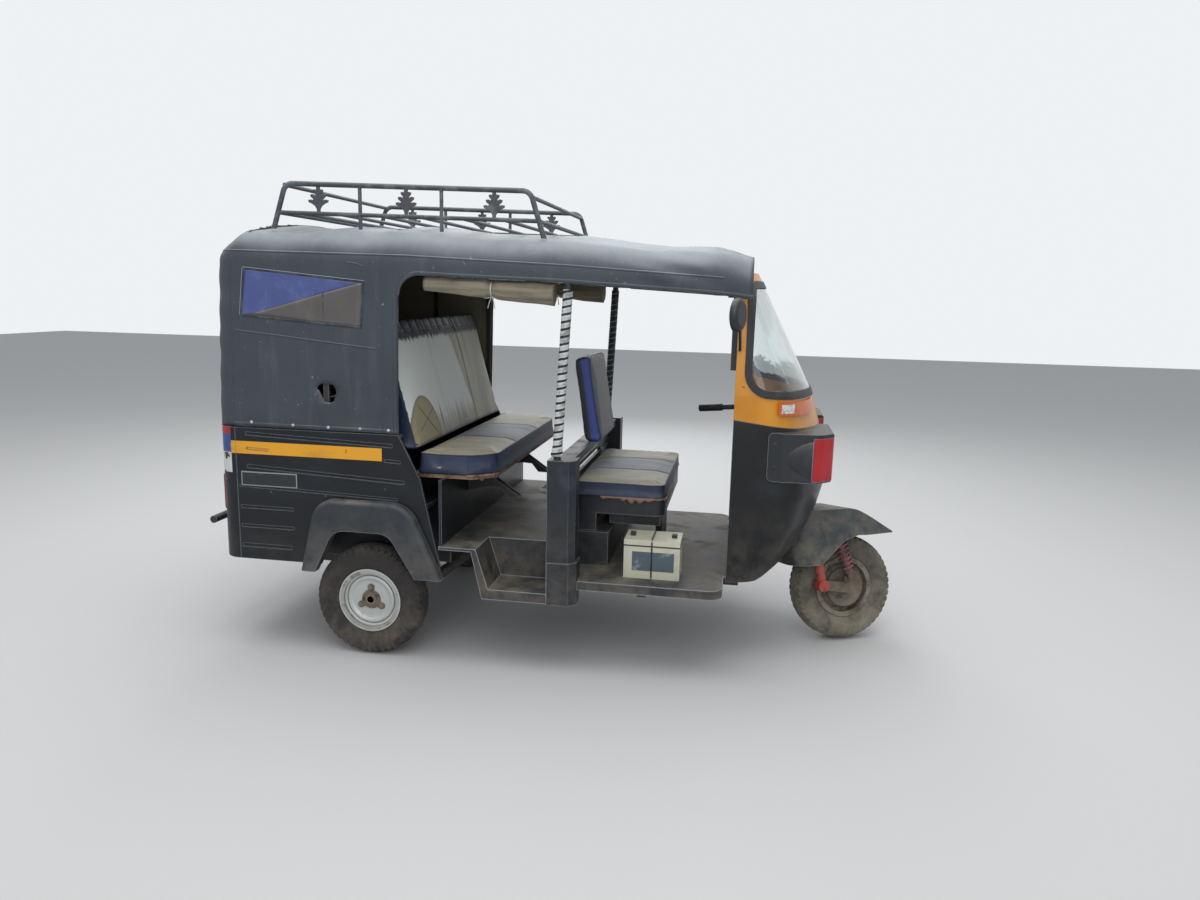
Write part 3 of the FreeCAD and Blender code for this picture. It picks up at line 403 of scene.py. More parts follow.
def bodyMarks(tree, colour, rough):
    x, y, z = objectAxes(tree)
    away = x - axleX
    stripe = inBand(z, *paint["stripeHeight"]) * inBand(away, *paint["stripeLength"])
    colour = blend(chipped(stripe, 16.0, 0.16), colour, paint["yellow"])
    soft = paint["bandSoft"]
    side = inBand(away, *paint["bandLength"], soft) * inBand(y, *paint["bandAcross"], soft)
    for shade, low, high in paint["bands"]:
        colour = blend(chipped(inBand(z, low, high, soft) * side, 24.0, 0.34), colour, shade)
    smear = patchMask(tree, 3.2, 0.6, 0.35, (1, 1, 2.2))
    return blend(smear * 0.5, colour, "#262d34"), rough + smear * 0.16


def cowlMarks(tree, colour, rough):
    colour = blend(patchMask(tree, 5.0, 0.7, 0.4) * 0.55, colour, "#a9690f")
    colour = blend(patchMask(tree, 42.0, 0.30, 0.2, (1, 1, 0.08)) * 0.6, colour, "#6b4a1c")
    return blend(patchMask(tree, 30.0, 0.16, 0.03), colour, "#4b3a2c"), rough


def vinylMarks(tree, colour, rough):
    # Faces that look up are painted lighter as painted top light, varied by a patch mask.
    paintedTopLight = spread(normalUp(tree), 0.25, 0.95) * (patchMask(tree, 3.0, 0.9, 0.6) * 0.4 + 0.45)
    colour = blend(paintedTopLight, colour, "#8d979d")
    colour = blend(patchMask(tree, 14.0, 0.5, 0.4, (1, 1, 0.12)) * 0.28, colour, "#6f767c")
    return blend(patchMask(tree, 55.0, 0.16, 0.05) * 0.5, colour, "#98a0a5"), rough


paleDust, lowDust, roofDust = "#8b8375", "#7a7265", "#a3a49c"
rimDust, redDust = "#8b8170", "#8b8071"
weave = ("clothWeave", 420.0, 0.0004, 0.5)
fineWeave = ("clothWeave", 420.0, 0.0003, 0.5)
vinylGrain = ("leatherGrain", 900.0, 0.0003, 0.35)

finish("plainDark", "#2b3036", 0.6)
finish("bodyPaint", "#10141a", 0.40, marks=bodyMarks, coat=0.06, specular=0.35,
       worn=("#6d737a",), dust=("#7d776c", 0.20, 0.6))
finish("cowlBlack", "#0b0d11", 0.36, ("#1f252b", 0.5, 5.0, 0.6, 0.35), ("#70757a",),
       ("#857d70", 0.4, 0.75), coat=0.08, specular=0.35)
finish("cowlYellow", "#d48d14", 0.38, None, ("#4b3a2c", 0.6, 0.004), (paleDust, 0.25),
       marks=cowlMarks, coat=0.2)
finish("framePaint", "#22272d", 0.55, ("#5a4030", 0.85, 9.0, 0.35), ("#7b6a5a",),
       (lowDust, 0.5, 0.6))
finish("floorPaint", "#24282d", 0.6, ("#4d4339", 0.85, 7.0, 0.4), ("#a9adb0", 0.85, 0.008),
       ("#8a8173", 0.6, 0.7))
finish("fenderGrey", "#232a31", 0.55, ("#3b444b", 0.7, 4.0, 0.55, 0.35), ("#7a828a", 0.4),
       ("#8a8378", 0.55, 0.75))
finish("mudguardGrey", "#33393d", 0.55, ("#1c1f22", 0.5, 9.0, 0.42, 0.08), ("#92908a",),
       ("#9b9382", 0.7, 0.9))
finish("rackPaint", "#3f464d", 0.5, ("#5d6368", 0.7, 12.0, 0.5), ("#7a5a44", 0.4),
       ("#8b8578", 0.35))
finish("pillarPaint", "#121922", 0.45, ("#28303a", 0.65, 8.0, 0.4), ("#80868c", 0.6),
       ("#857d70", 0.4, 0.75))
finish("rimSilver", "#b4b8b7", 0.42, ("#85817a", 0.7, 16.0, 0.45), ("#6d5a48", 0.5, 0.004),
       (rimDust, 0.55, 0.5), metallic=0.55)
finish("rimBright", "#c3c7c6", 0.38, ("#8f8c84", 0.7, 16.0, 0.22), ("#7d6c5a", 0.3, 0.003),
       (rimDust, 0.35, 0.35), metallic=0.35)
finish("frontRimGrey", "#7c776c", 0.7, ("#4e463c", 0.85, 14.0, 0.5), None, ("#93897a", 0.7, 0.7),
       metallic=0.2)
finish("hubRust", "#6f6154", 0.75, ("#3e2f26", None, 20.0, 0.5), ("#a09a90", 0.4),
       (rimDust, 0.5, 0.4), metallic=0.2)
finish("redOxide", "#a53c2a", 0.55, ("#55311f", 0.85, 14.0, 0.45), ("#3a3230",),
       (redDust, 0.5, 0.7))
finish("springRed", "#83404a", 0.55, ("#22262c", None, 18.0, 0.5), None, (redDust, 0.4, 0.7))
finish("linkIron", "#5b5348", 0.75, ("#37302a", None, 14.0, 0.5), None, ("#968b79", 0.7, 0.7))
finish("engineMetal", "#3a3c3e", 0.6, ("#5c4c3c", None, 9.0, 0.45), None, (lowDust, 0.6, 0.7),
       metallic=0.3)
finish("rubberBlack", "#191b1e", 0.55, ("#3a3d40", 0.75, 7.0, 0.5, 0.3), None, ("#7d7870", 0.35))
finish("tyreRear", "#2c2929", 0.85, ("#4a4540", None, 8.0, 0.5, 0.4), None, ("#80766a", 0.5, 0.5))
finish("tyreFront", "#4a4841", 0.9, ("#7d776a", None, 8.0, 0.75, 0.4), None, ("#8f8878", 0.8, 0.6))
finish("plywood", "#8d7457", 0.8, ("#5b4a38", None, 14.0, 0.5), None, ("#7d7468", 0.3))
finish("batteryCream", "#c9c8b4", 0.5, ("#a39e88", None, 8.0, 0.5, 0.3), None,
       (paleDust, 0.3))
finish("labelSlate", "#4d5c66", 0.5, ("#7b8890", None, 16.0, 0.4), None, (paleDust, 0.3))
finish("lidDark", "#23272b", 0.5, None, None, (paleDust, 0.5))
finish("mirrorBlack", "#23272c", 0.4, ("#3c4248", None, 9.0, 0.4), None, (paleDust, 0.2))
finish("headlampGrey", "#1b1f24", 0.4, ("#31373d", None, 9.0, 0.45, 0.3), ("#8b8f93",),
       (paleDust, 0.35, 0.9))
finish("lampClear", "#cfd0c8", 0.15, ("#8f938f", None, 60.0, 0.5), coat=0.5)
finish("plateDark", "#20252a", 0.5, ("#4b4f50", None, 14.0, 0.4), None, (paleDust, 0.4))
finish("plateEdge", "#8f9392", 0.5, None, None, (paleDust, 0.4))
finish("dashGrey", "#2e3338", 0.6, ("#4b4f52", None, 8.0, 0.4), None, (paleDust, 0.5))
finish("seatBlue", "#22365a", 0.55)
finish("canopyVinyl", "#39414a", 0.56, ("#2d343b", None, 3.0, 0.8, 0.5), None,
       (roofDust, 0.22), bump=vinylGrain, marks=vinylMarks)
finish("canopyLining", "#8a8473", 0.9, ("#6b6558", None, 4.0, 0.7, 0.5), bump=weave)
finish("clothWhite", "#c7c8c2", 0.9, ("#8f8d84", None, 20.0, 0.5), bump=fineWeave)
finish("threadPale", "#8c9398", 0.8)
finish("windowBlue", "#46538c", 0.3, ("#6a76a8", None, 9.0, 0.5, 0.4), None,
       (roofDust, 0.3), ("#9096b4", 60.0, 0.3))
finish("windowBrown", "#595454", 0.35, ("#736e6b", None, 9.0, 0.5, 0.4), None,
       (roofDust, 0.3), ("#8b8784", 60.0, 0.3))
finish("bindingDark", "#23282e", 0.5, ("#41474d", None, 14.0, 0.5))
finish("wrapBlack", "#16191d", 0.6, ("#30353a", None, 20.0, 0.5), None, (paleDust, 0.2))
finish("wrapWhite", "#c6cbcc", 0.7, ("#8e9290", None, 24.0, 0.5), None, (paleDust, 0.35, 0.4))
finish("wrapGrey", "#7d8286", 0.7, ("#4e5255", None, 24.0, 0.5), None, (paleDust, 0.35))
finish("curtainKhaki", "#8d8674", 0.9, ("#6b6556", None, 7.0, 0.55, 0.35), None, ("#9c9484", 0.3),
       bump=weave)
glassFinish("glassPane", "#eef4f4", 0.03, 1.0)
glassFinish("lensRed", "#d8303c", 0.12, 0.45)
glassFinish("lensAmber", "#e0701a", 0.14, 0.4)
glassFinish("lensTail", "#b01c20", 0.12, 0.4)

nodeFinish = {
    "bodyPaint": "side_panel_right side_panel_left rear_panel engine_lid rear_deck",
    "framePaint": ("rear_bumper canopy_hoops roof_rails roof_posts chassis_rails cross_members "
                   "steering_head rear_arms"),
    "fenderGrey": "rear_fenders", "lensTail": "tail_lamps", "floorPaint": "floor_pan driver_floor",
    "pillarPaint": "pillars partition driver_seat_base", "cowlBlack": "front_cowl_lower",
    "cowlYellow": "front_cowl_upper", "rubberBlack": "windshield_gasket canopy_rear canopy_roof",
    "glassPane": "windshield", "headlampGrey": "headlamp_housings", "lensRed": "headlamp_lenses",
    "lensAmber": "indicators", "mirrorBlack": "mirrors handlebar", "rackPaint": "roof_rack",
    "dashGrey": "dashboard curtain_rolls", "plywood": "passenger_seat_board",
    "batteryCream": "battery", "rimSilver": "rear_rim_right rear_rim_left",
    "frontRimGrey": "front_rim", "tyreRear": "rear_tyre_right rear_tyre_left",
    "tyreFront": "front_tyre", "linkIron": "front_link", "springRed": "front_shock",
    "redOxide": "steering_column", "mudguardGrey": "front_mudguard", "engineMetal": "engine",
    "seatBlue": "passenger_cushion passenger_backrest driver_cushion driver_backrest",
}
for shade, names in nodeFinish.items():
    for name in names.split():
        nodes[name].data.materials.clear()
        nodes[name].data.materials.append(finishes[shade])
print("CAD nodes painted")


# Shape helpers. Materials are given by the names of their finishes.

wheelBase, tyreRadius = 2090, 247.5
parkedTurn = radians(25)
steerAxis, steerPoint = (Vector(joints["steer"][key]) for key in ("axis", "pos_m"))
turned = (Matrix.Translation(steerPoint) @ Matrix.Rotation(parkedTurn, 4, steerAxis)
          @ Matrix.Translation(-steerPoint))
slide = Vector(joints["front_spin"]["pos_m"]) - turned @ at(wheelBase, 0, tyreRadius)
steered = Matrix.Translation(slide) @ turned


def addPiece(name, verts, faces, *looks, smooth=True):
    mesh = bpy.data.meshes.new(name)
    mesh.from_pydata([tuple(v) for v in verts], [], faces)
    for look in looks:
        mesh.materials.append(finishes[look])
    mesh.polygons.foreach_set("use_smooth", [smooth] * len(mesh.polygons))
    mesh.update()
    return link(name, mesh)


def pieceFrom(name, shape, *looks):
    mesh = bpy.data.meshes.new(name)
    shape.to_mesh(mesh)
    shape.free()
    for look in looks:
        mesh.materials.append(finishes[look])
    return link(name, mesh)


def faceOutward(piece, merge=0.0, side=0):
    shape = bmesh.new()
    shape.from_mesh(piece.data)
    if merge:
        bmesh.ops.remove_doubles(shape, verts=list(shape.verts), dist=merge)
        bmesh.ops.dissolve_degenerate(shape, edges=list(shape.edges), dist=merge)
    bmesh.ops.recalc_face_normals(shape, faces=list(shape.faces))
    shape.normal_update()
    if sum(f.normal.y * side for f in shape.faces) < 0:
        bmesh.ops.reverse_faces(shape, faces=list(shape.faces))
    shape.to_mesh(piece.data)
    shape.free()
    return piece


def settle(piece, stands=(), body="body"):
    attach(piece, body)
    if stands:
        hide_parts(*stands)
    return piece


def gridFaces(rows, columns, closeRows=False, closeColumns=False, flip=False):
    faces = []
    for i in range(rows if closeRows else rows - 1):
        for j in range(columns if closeColumns else columns - 1):
            a, b = i * columns + j, i * columns + (j + 1) % columns
            c, d = ((i + 1) % rows) * columns + (j + 1) % columns, ((i + 1) % rows) * columns + j
            faces.append((d, c, b, a) if flip else (a, b, c, d))
    return faces


def ringCap(start, count):
    return tuple(range(start, start + count))


def bake(piece):
    graph = bpy.context.evaluated_depsgraph_get()
    graph.update()
    mesh = bpy.data.meshes.new_from_object(piece.evaluated_get(graph), depsgraph=graph,
                                           preserve_all_data_layers=True)
    piece.modifiers.clear()
    piece.data = mesh
    return piece


def modify(piece, kind, **settings):
    modifier = piece.modifiers.new(kind.title(), kind)
    for name, value in settings.items():
        setattr(modifier, name, value)
    return modifier


def tube(name, points, radius, look, closed=False, sides=8):
    curve = bpy.data.curves.new(name, "CURVE")
    curve.dimensions = "3D"
    curve.bevel_depth = radius * millimetre
    curve.bevel_resolution = (sides - 4) // 2
    curve.resolution_u = 6
    curve.use_fill_caps = True
    spline = curve.splines.new("NURBS")
    spline.points.add(len(points) - 1)
    for place, p in zip(spline.points, points):
        place.co = (*p, 1)
    spline.use_cyclic_u = closed
    spline.order_u = 3
    spline.use_endpoint_u = not closed
    holder = link(name, curve)
    graph = bpy.context.evaluated_depsgraph_get()
    mesh = bpy.data.meshes.new_from_object(holder.evaluated_get(graph))
    bpy.data.objects.remove(holder)
    mesh.materials.clear()
    mesh.materials.append(finishes[look])
    mesh.polygons.foreach_set("use_smooth", [True] * len(mesh.polygons))
    return link(name, mesh)


def joinPieces(name, pieces):
    whole = bmesh.new()
    materials = []
    for piece in pieces:
        part = piece.data
        part.transform(piece.matrix_world)
        start = len(whole.faces)
        whole.from_mesh(part)
        whole.faces.ensure_lookup_table()
        slots = []
        for material in part.materials:
            if material.name not in materials:
                materials.append(material.name)
            slots.append(materials.index(material.name))
        for face in whole.faces[start:]:
            face.material_index = slots[min(face.material_index, len(slots) - 1)]
        bpy.data.objects.remove(piece)
    return pieceFrom(name, whole, *materials)


def cornerBox(low, high, look, bevel=1.5, segments=2):
    low, high = at(*low), at(*high)
    box = bmesh.new()
    bmesh.ops.create_cube(box, size=1)
    middle, size = (low + high) / 2, high - low
    for v in box.verts:
        v.co = Vector(v.co[i] * size[i] + middle[i] for i in range(3))
    bmesh.ops.bevel(box, geom=list(box.edges), offset=bevel * millimetre, segments=segments,
                    profile=0.6, affect="EDGES")
    return pieceFrom("box", box, look)


def surfaceOf(piece):
    mesh = piece.data
    return BVHTree.FromPolygons([v.co.copy() for v in mesh.vertices],
                                [tuple(p.vertices) for p in mesh.polygons])


# One tree that copies a small part to marked places

def copyTree():
    tree = bpy.data.node_groups.new("copyToPlaces", "GeometryNodeTree")
    for label, kind in (("Geometry", "Geometry"), ("Part", "Object"), ("Size Spread", "Float"),
                        ("Seed", "Int"), ("Finish", "Material")):
        tree.interface.new_socket(label, in_out="INPUT", socket_type="NodeSocket" + kind)
    tree.interface.new_socket("Geometry", in_out="OUTPUT", socket_type="NodeSocketGeometry")
    entry = addNode(tree, "NodeGroupInput")
    part = addNode(tree, "GeometryNodeObjectInfo", {"Object": entry["Part"]},
                   transform_space="ORIGINAL")["Geometry"]
    turn = addNode(tree, "GeometryNodeInputNamedAttribute", {"Name": "turn"},
                   data_type="FLOAT_VECTOR")["Attribute"]
    rotation = addNode(tree, "FunctionNodeEulerToRotation", {0: turn})[0]
    low, high = 1.0 - entry["Size Spread"], entry["Size Spread"] + 1.0
    size = addNode(tree, "FunctionNodeRandomValue", {"Seed": entry["Seed"], 2: low, 3: high},
                   data_type="FLOAT")[1]
    points = addNode(tree, "GeometryNodeMeshToPoints", {"Mesh": entry["Geometry"]})[0]
    copies = addNode(tree, "GeometryNodeInstanceOnPoints",
                     {"Points": points, "Instance": part, "Rotation": rotation, "Scale": size})[0]
    real = addNode(tree, "GeometryNodeRealizeInstances", {0: copies})[0]
    painted = addNode(tree, "GeometryNodeSetMaterial",
                      {"Geometry": real, "Material": entry["Finish"]})[0]
    addNode(tree, "NodeGroupOutput", {0: painted})
    return tree


copyToPlaces = copyTree()


def copyPart(name, part, places, look, sizeSpread=0.0, seed=1):
    mesh = bpy.data.meshes.new(name)
    mesh.from_pydata([tuple(p) for p, _ in places], [], [])
    turns = mesh.attributes.new("turn", "FLOAT_VECTOR", "POINT")
    for item, (_, turn) in zip(turns.data, places):
        item.vector = tuple(turn)
    holder = link(name, mesh)
    modifier = holder.modifiers.new("Copies", "NODES")
    modifier.node_group = copyToPlaces
    values = {"Part": part, "Size Spread": sizeSpread, "Seed": seed, "Finish": finishes[look]}
    for item in copyToPlaces.interface.items_tree:
        if item.name in values:
            modifier[item.identifier] = values[item.name]
    bake(holder)
    for attribute in [a for a in holder.data.attributes if a.name == "turn"]:
        holder.data.attributes.remove(attribute)
    bpy.data.objects.remove(part)
    return holder


def facing(direction):
    return Vector(direction).to_track_quat("Z", "Y").to_euler()


def smallDome(radius, height, sides=12, rings=4):
    verts = [Vector((0, 0, height * millimetre))]
    for i in range(1, rings + 1):
        angle = pi / 2 * i / rings
        for k in range(sides):
            around = circle * k / sides
            verts.append(Vector((radius * sin(angle) * cos(around),
                                 radius * sin(angle) * sin(around),
                                 height * cos(angle))) * millimetre)
    faces = [(0, 1 + k, 1 + (k + 1) % sides) for k in range(sides)]
    for i in range(rings - 1):
        for k in range(sides):
            a, b = 1 + i * sides + k, 1 + i * sides + (k + 1) % sides
            faces.append((a, a + sides, b + sides, b))
    return addPiece("domePart", verts, faces, "plainDark")


def smallNut(radius, height, hole=0.45):
    rings = ((0, 1), (height * 0.82, 1), (height, 0.86), (height, hole), (height * 0.7, hole * 0.9))
    verts = []
    for z, scale in rings:
        for k in range(6):
            around = circle / 6 * k
            verts.append(Vector((radius * scale * cos(around), radius * scale * sin(around),
                                 z)) * millimetre)
    faces = gridFaces(len(rings), 6, closeColumns=True) + [ringCap(len(verts) - 6, 6)]
    return addPiece("nutPart", verts, faces, "plainDark", smooth=False)


print("helpers ready")


# Canopy: one stretched sheet over the hoops, from the rear wall to the edge of the front hood

canopy = {
    "hem": 999.0, "door": 152.0, "doorLean": 10.0, "doorTop": 1662.0, "doorRound": 90.0,
    "corner": 140.0, "cornerTurn": 80.0, "rearLow": -698.0, "rearHigh": -667.0, "highAt": 1922.0,
    "sideRound": 84.0, "topRound": 150.0, "clothThick": 0.0026, "rear": -600, "straightFrom": -530,
    "front": 1598, "doorGap": 18, "hoops": (-548, -168, 138, 860, 1512), "sagFrom": -700,
    "sagDepth": 13.0, "sideSag": 6.0, "ridge": 2.5, "openingWidth": 0.45, "snap": 16,
}
roofStations = [(-800, 690, 1892, 1662), (200, 690, 1892, 1661), (860, 664, 1862, 1643),
                (1440, 560, 1828, 1612), (1600, 492, 1782, 1596)]  # x, half width, crown, lip
tearOutline = [(-214, 1186), (-197, 1170), (-171, 1120), (-135, 1121), (-120, 1169), (-128, 1198),
               (-182, 1204)]
rearRows, bendRows, sideRows, hoodRows = 40, 9, 38, 79


def roofAt(x):
    for a, b in zip(roofStations, roofStations[1:]):
        if x <= b[0] or b is roofStations[-1]:
            share = (x - a[0]) / (b[0] - a[0])
            return [a[i] + (b[i] - a[i]) * share for i in (1, 2, 3)]


def canopySection(x, inset=0.0):
    half, crown, lip = roofAt(x)
    half, crown, corner = half - inset, crown - inset, max(12.0, canopy["corner"] - inset)
    turn = radians(canopy["cornerTurn"])
    broad = (half - corner) / cos(turn) + corner
    shoulder = crown - broad + (broad - corner) * sin(turn)
    points = [(-half, canopy["hem"] + (lip - canopy["hem"]) * i / 36) for i in range(36)]
    points += [(-half, lip + (shoulder - lip) * i / 3) for i in range(3)]
    for i in range(14):
        angle = turn * i / 14
        points.append((-half + corner - corner * cos(angle),
                       shoulder + corner * sin(angle)))
    for i in range(32):
        angle = turn + (pi / 2 - turn) * i / 31
        points.append((-broad * cos(angle), crown - broad + broad * sin(angle)))
    return points + [(-y, z) for y, z in reversed(points[:-1])]


def rearAt(z):
    share = (z - canopy["hem"]) / (canopy["highAt"] - canopy["hem"])
    return canopy["rearLow"] + (canopy["rearHigh"] - canopy["rearLow"]) * share


def canopyGrid():
    flat = canopySection(canopy["rear"])
    rounds = []
    for _, z in flat:
        up = ramp(z, 1704, 160)
        grow = (canopy["topRound"] - canopy["sideRound"]) * up * up * (3 - 2 * up)
        rounds.append(canopy["sideRound"] + grow)
    insets = {r: canopySection(canopy["rear"], r) for r in {round(r, 1) for r in rounds}}

    def inner(j, share):
        (y0, z0), (y1, z1) = flat[j], insets[round(rounds[j], 1)][j]
        return y0 + (y1 - y0) * share, z0 + (z1 - z0) * share

    rows = []
    for i in range(1, rearRows):
        scale = i / rearRows
        row = []
        for j in range(len(flat)):
            y, z = inner(j, 1)
            z = canopy["hem"] + (z - canopy["hem"]) * scale
            row.append((rearAt(z), y * scale, z))
        rows.append(row)
    for i in range(bendRows + 1):
        angle = pi / 2 * i / bendRows
        row = []
        for j, radius in enumerate(rounds):
            y, z = inner(j, 1 - sin(angle))
            row.append((rearAt(z) + radius * (1 - cos(angle)), y, z))
        rows.append(row)
    start, length = canopy["straightFrom"], canopy["door"] - canopy["straightFrom"]
    for i in range(sideRows + 1):
        x = start + length * i / sideRows
        share = max(0.0, (x - start) / length)
        rows.append([(x + canopy["doorLean"] * ramp(z, canopy["hem"], 574) * share, y, z)
                     for y, z in canopySection(x)])
    first = canopy["door"] + canopy["doorLean"] + canopy["doorGap"]
    for i in range(hoodRows + 1):
        x = first + (canopy["front"] - first) * i / hoodRows
        rows.append([(x, y, z) for y, z in canopySection(x)])
    return rows, rearRows + bendRows + sideRows


def insideOutline(x, z, outline):
    inside = False
    for (x0, z0), (x1, z1) in zip(outline, outline[1:] + outline[:1]):
        if (z0 > z) != (z1 > z) and x < (x1 - x0) * (z - z0) / (z1 - z0) + x0:
            inside = not inside
    return inside


def doorOutline():
    radius = canopy["doorRound"]
    corner, low = canopy["door"] + canopy["doorLean"], canopy["doorTop"] - radius
    points = [(canopy["door"], 900), (corner, low)]
    for i in range(1, 9):
        angle = pi - pi / 2 * i / 8
        points.append((corner + radius + radius * cos(angle), low + radius * sin(angle)))
    points += [(x, roofAt(x)[2]) for x in (400, 860, 1150, 1440, 1600)]
    return points + [(1700, 1590), (1700, 900)]


def nearestOn(x, z, outline):
    places = []
    for (x0, z0), (x1, z1) in zip(outline, outline[1:] + outline[:1]):
        dx, dz = x1 - x0, z1 - z0
        share = ramp((x - x0) * dx + (z - z0) * dz, 0.0, dx * dx + dz * dz)
        px, pz = x0 + dx * share, z0 + dz * share
        places.append((hypot(x - px, z - pz), px, pz))
    return min(places, key=lambda place: place[0])


def stretchDepth(x, y, z):
    sag = 0.0
    for a, b in zip((canopy["sagFrom"],) + canopy["hoops"], canopy["hoops"]):
        if a <= x <= b:
            sag = sin(pi * (x - a) / (b - a)) ** 2
    near = min(abs(x - h) for h in canopy["hoops"])
    ridge = canopy["ridge"] * exp(-(near / 26) ** 2)
    roofShare = ramp(z, 1720, 120)
    sideShare = ramp(z, 1010, 150) * (1 - roofShare)
    depth = sag * (canopy["sagDepth"] * roofShare + canopy["sideSag"] * sideShare)
    place = Vector((x * 0.0032, y * 0.004, z * 0.0045))
    billow = noise.noise(place) * 5.0 + noise.noise(place * 2.7 + Vector((7, 1, 3))) * 2.0
    fold = 0.0
    if x > 1050:
        lift = sin((x * 0.35 + z * 1.1) * 0.06) * exp(-((x - 1330) / 220) ** 2)
        fold = 3.5 * lift * ramp(z, 1600, 60) * ramp(1790 - z, 0, 90)
    if x < -480:
        fold += 2.0 * sin(z * 0.045 + y * 0.01) * exp(-((x + 640) / 90) ** 2) * sideShare
    return max(0.5, depth + 3.5 + (billow + fold) * ramp(z, 1000, 40) - ridge)


def sideView(place):
    return (place.x - axleX) / millimetre, place.z / millimetre


def openCanopy(shape):
    doorway = doorOutline()
    wide = canopy["openingWidth"]
    gone = []
    for face in shape.faces:
        middle = face.calc_center_median()
        x, z = sideView(middle)
        door = insideOutline(x, z, doorway) and abs(middle.y) > wide and z < 1668
        if door or (middle.y < -0.6 and insideOutline(x, z, tearOutline)):
            gone.append(face)
    bmesh.ops.delete(shape, geom=gone, context="FACES")
    for v in shape.verts:
        if not v.is_boundary or abs(v.co.y) < wide:
            continue
        x, z = sideView(v.co)
        nearTear = -240 <= x < -95 and 1090 <= z < 1230
        if v.co.y > 0 and nearTear:
            continue
        distance, px, pz = nearestOn(x, z, tearOutline if nearTear else doorway)
        if distance < canopy["snap"] and z > canopy["hem"] + 4:
            v.co.x, v.co.z = px * millimetre + axleX, pz * millimetre
    bmesh.ops.delete(shape, geom=[v for v in shape.verts if not v.link_faces], context="VERTS")


def makeCanopy():
    rows, doorRow = canopyGrid()
    columns = range(len(rows[0]) - 1)
    shape = bmesh.new()
    table = [[shape.verts.new(at(*p)) for p in row] for row in rows]
    middle = shape.verts.new(at(rearAt(canopy["hem"]), 0, canopy["hem"]))
    for j in columns:
        shape.faces.new((middle, table[0][j + 1], table[0][j]))
    for a, b in zip(table, table[1:]):
        for j in columns:
            shape.faces.new((a[j], a[j + 1], b[j + 1], b[j]))
    bmesh.ops.recalc_face_normals(shape, faces=list(shape.faces))
    shape.normal_update()
    if table[doorRow][0].normal.y > 0:
        bmesh.ops.reverse_faces(shape, faces=list(shape.faces))
        shape.normal_update()
    moves = [v.normal * (-stretchDepth(*((v.co - at(0, 0, 0)) / millimetre)) * millimetre)
             for v in shape.verts]
    for v, move in zip(shape.verts, moves):
        v.co += move
    openCanopy(shape)
    cloth = pieceFrom("canopyCloth", shape, "canopyVinyl", "canopyLining")
    cloth.data.polygons.foreach_set("use_smooth", [True] * len(cloth.data.polygons))
    surface = surfaceOf(cloth)
    modify(cloth, "SOLIDIFY", thickness=canopy["clothThick"], offset=-1, material_offset=1,
           material_offset_rim=0)
    bake(cloth)
    settle(cloth, ["canopy_rear", "canopy_roof"])
    return surface


canopySurface = makeCanopy()


# What is sewn, glazed and riveted on the canopy. Points are x, z on one side.

def onCanopy(x, z, side=-1, lift=0.0):
    start = Vector((x * millimetre + axleX, side * 2.0, z * millimetre))
    place, normal, _, _ = canopySurface.ray_cast(start, Vector((0, -side, 0)))
    if place is None or abs(place.y) < 0.3:
        return Vector((start.x, side * roofAt(x)[0] * millimetre, start.z)), Vector((0, side, 0))
    if normal.y * side < 0:
        normal = -normal
    return place + normal * lift * millimetre, normal


def alongPath(points, gap):
    path = []
    for a, b in zip(points, points[1:]):
        count = max(1, round(math.dist(a, b) / gap))
        path += [tuple(p + (q - p) * i / count for p, q in zip(a, b)) for i in range(count)]
    return path + [points[-1]]


def canopyStrip(name, points, width, look, side, lift, closed=False):
    path = alongPath(points + ([points[0]] if closed else []), 14)
    verts = []
    for i, (x, z) in enumerate(path):
        a, b = path[max(0, i - 1)], path[min(len(path) - 1, i + 1)]
        if closed and i in (0, len(path) - 1):
            a, b = path[-2], path[1]
        dx, dz = b[0] - a[0], b[1] - a[1]
        size = hypot(dx, dz) or 1
        nx, nz = -dz / size, dx / size
        for across, height in ((-0.5, 0.0), (-0.42, 1.0), (0.0, 1.25), (0.42, 1.0), (0.5, 0.0)):
            place, normal = onCanopy(x + nx * width * across, z + nz * width * across, side)
            verts.append(place + normal * ((height * lift - 0.2) * millimetre))
    return addPiece(name, verts, gridFaces(len(path), 5, flip=side > 0), look)


def canopyCord(name, points, radius, look, side, lift, gap=16):
    return tube(name, [onCanopy(x, z, side, lift)[0] for x, z in alongPath(points, gap)], radius,
                look)


def canopyPatch(name, outline, look, side, lift=0.8):
    flat = bmesh.new()
    flat.faces.new([flat.verts.new((x, z, 0)) for x, z in outline])
    for _ in range(4):
        bmesh.ops.subdivide_edges(flat, edges=list(flat.edges), cuts=1, use_grid_fill=True)
        bmesh.ops.triangulate(flat, faces=[f for f in flat.faces if len(f.verts) > 4])
    verts = [onCanopy(v.co.x, v.co.y, side, lift)[0] for v in flat.verts]
    flat.verts.index_update()
    faces = [tuple(v.index for v in f.verts) for f in flat.faces]
    flat.free()
    patch = faceOutward(addPiece(name, verts, faces, look), side=side)
    modify(patch, "SOLIDIFY", thickness=0.0012, offset=-1)
    return bake(patch)


windowFrame = [(-520, 1675), (10, 1629), (-4, 1441), (-540, 1480)]
windowSplit = (-500, 1485)
seams = {  # points and width
    "hem": ([(-600, 1012), (150, 1010)], 17),
    "doorEdge": ([(x, z + 8) for x, z in doorOutline()[1:-2]], 15),
    "doorPost": ([(138, 1004), (147, 1566)], 15),
    "roofEdge": ([(-640, 1750), (200, 1738), (860, 1712), (1480, 1678)], 9),
    "rearCorner": ([(-604, 1010), (-596, 1730)], 9),
    "splice": ([(84, 1010), (96, 1560), (92, 1735)], 10),
    "patchTop": ([(-578, 1416), (60, 1356)], 7),
    "slit": ([(-62, 1708), (-27, 1705), (11, 1693)], 5),
}
studs = [(-516, 1021), (-323, 1016), (-161, 1014), (-18, 1014), (110, 1014)]


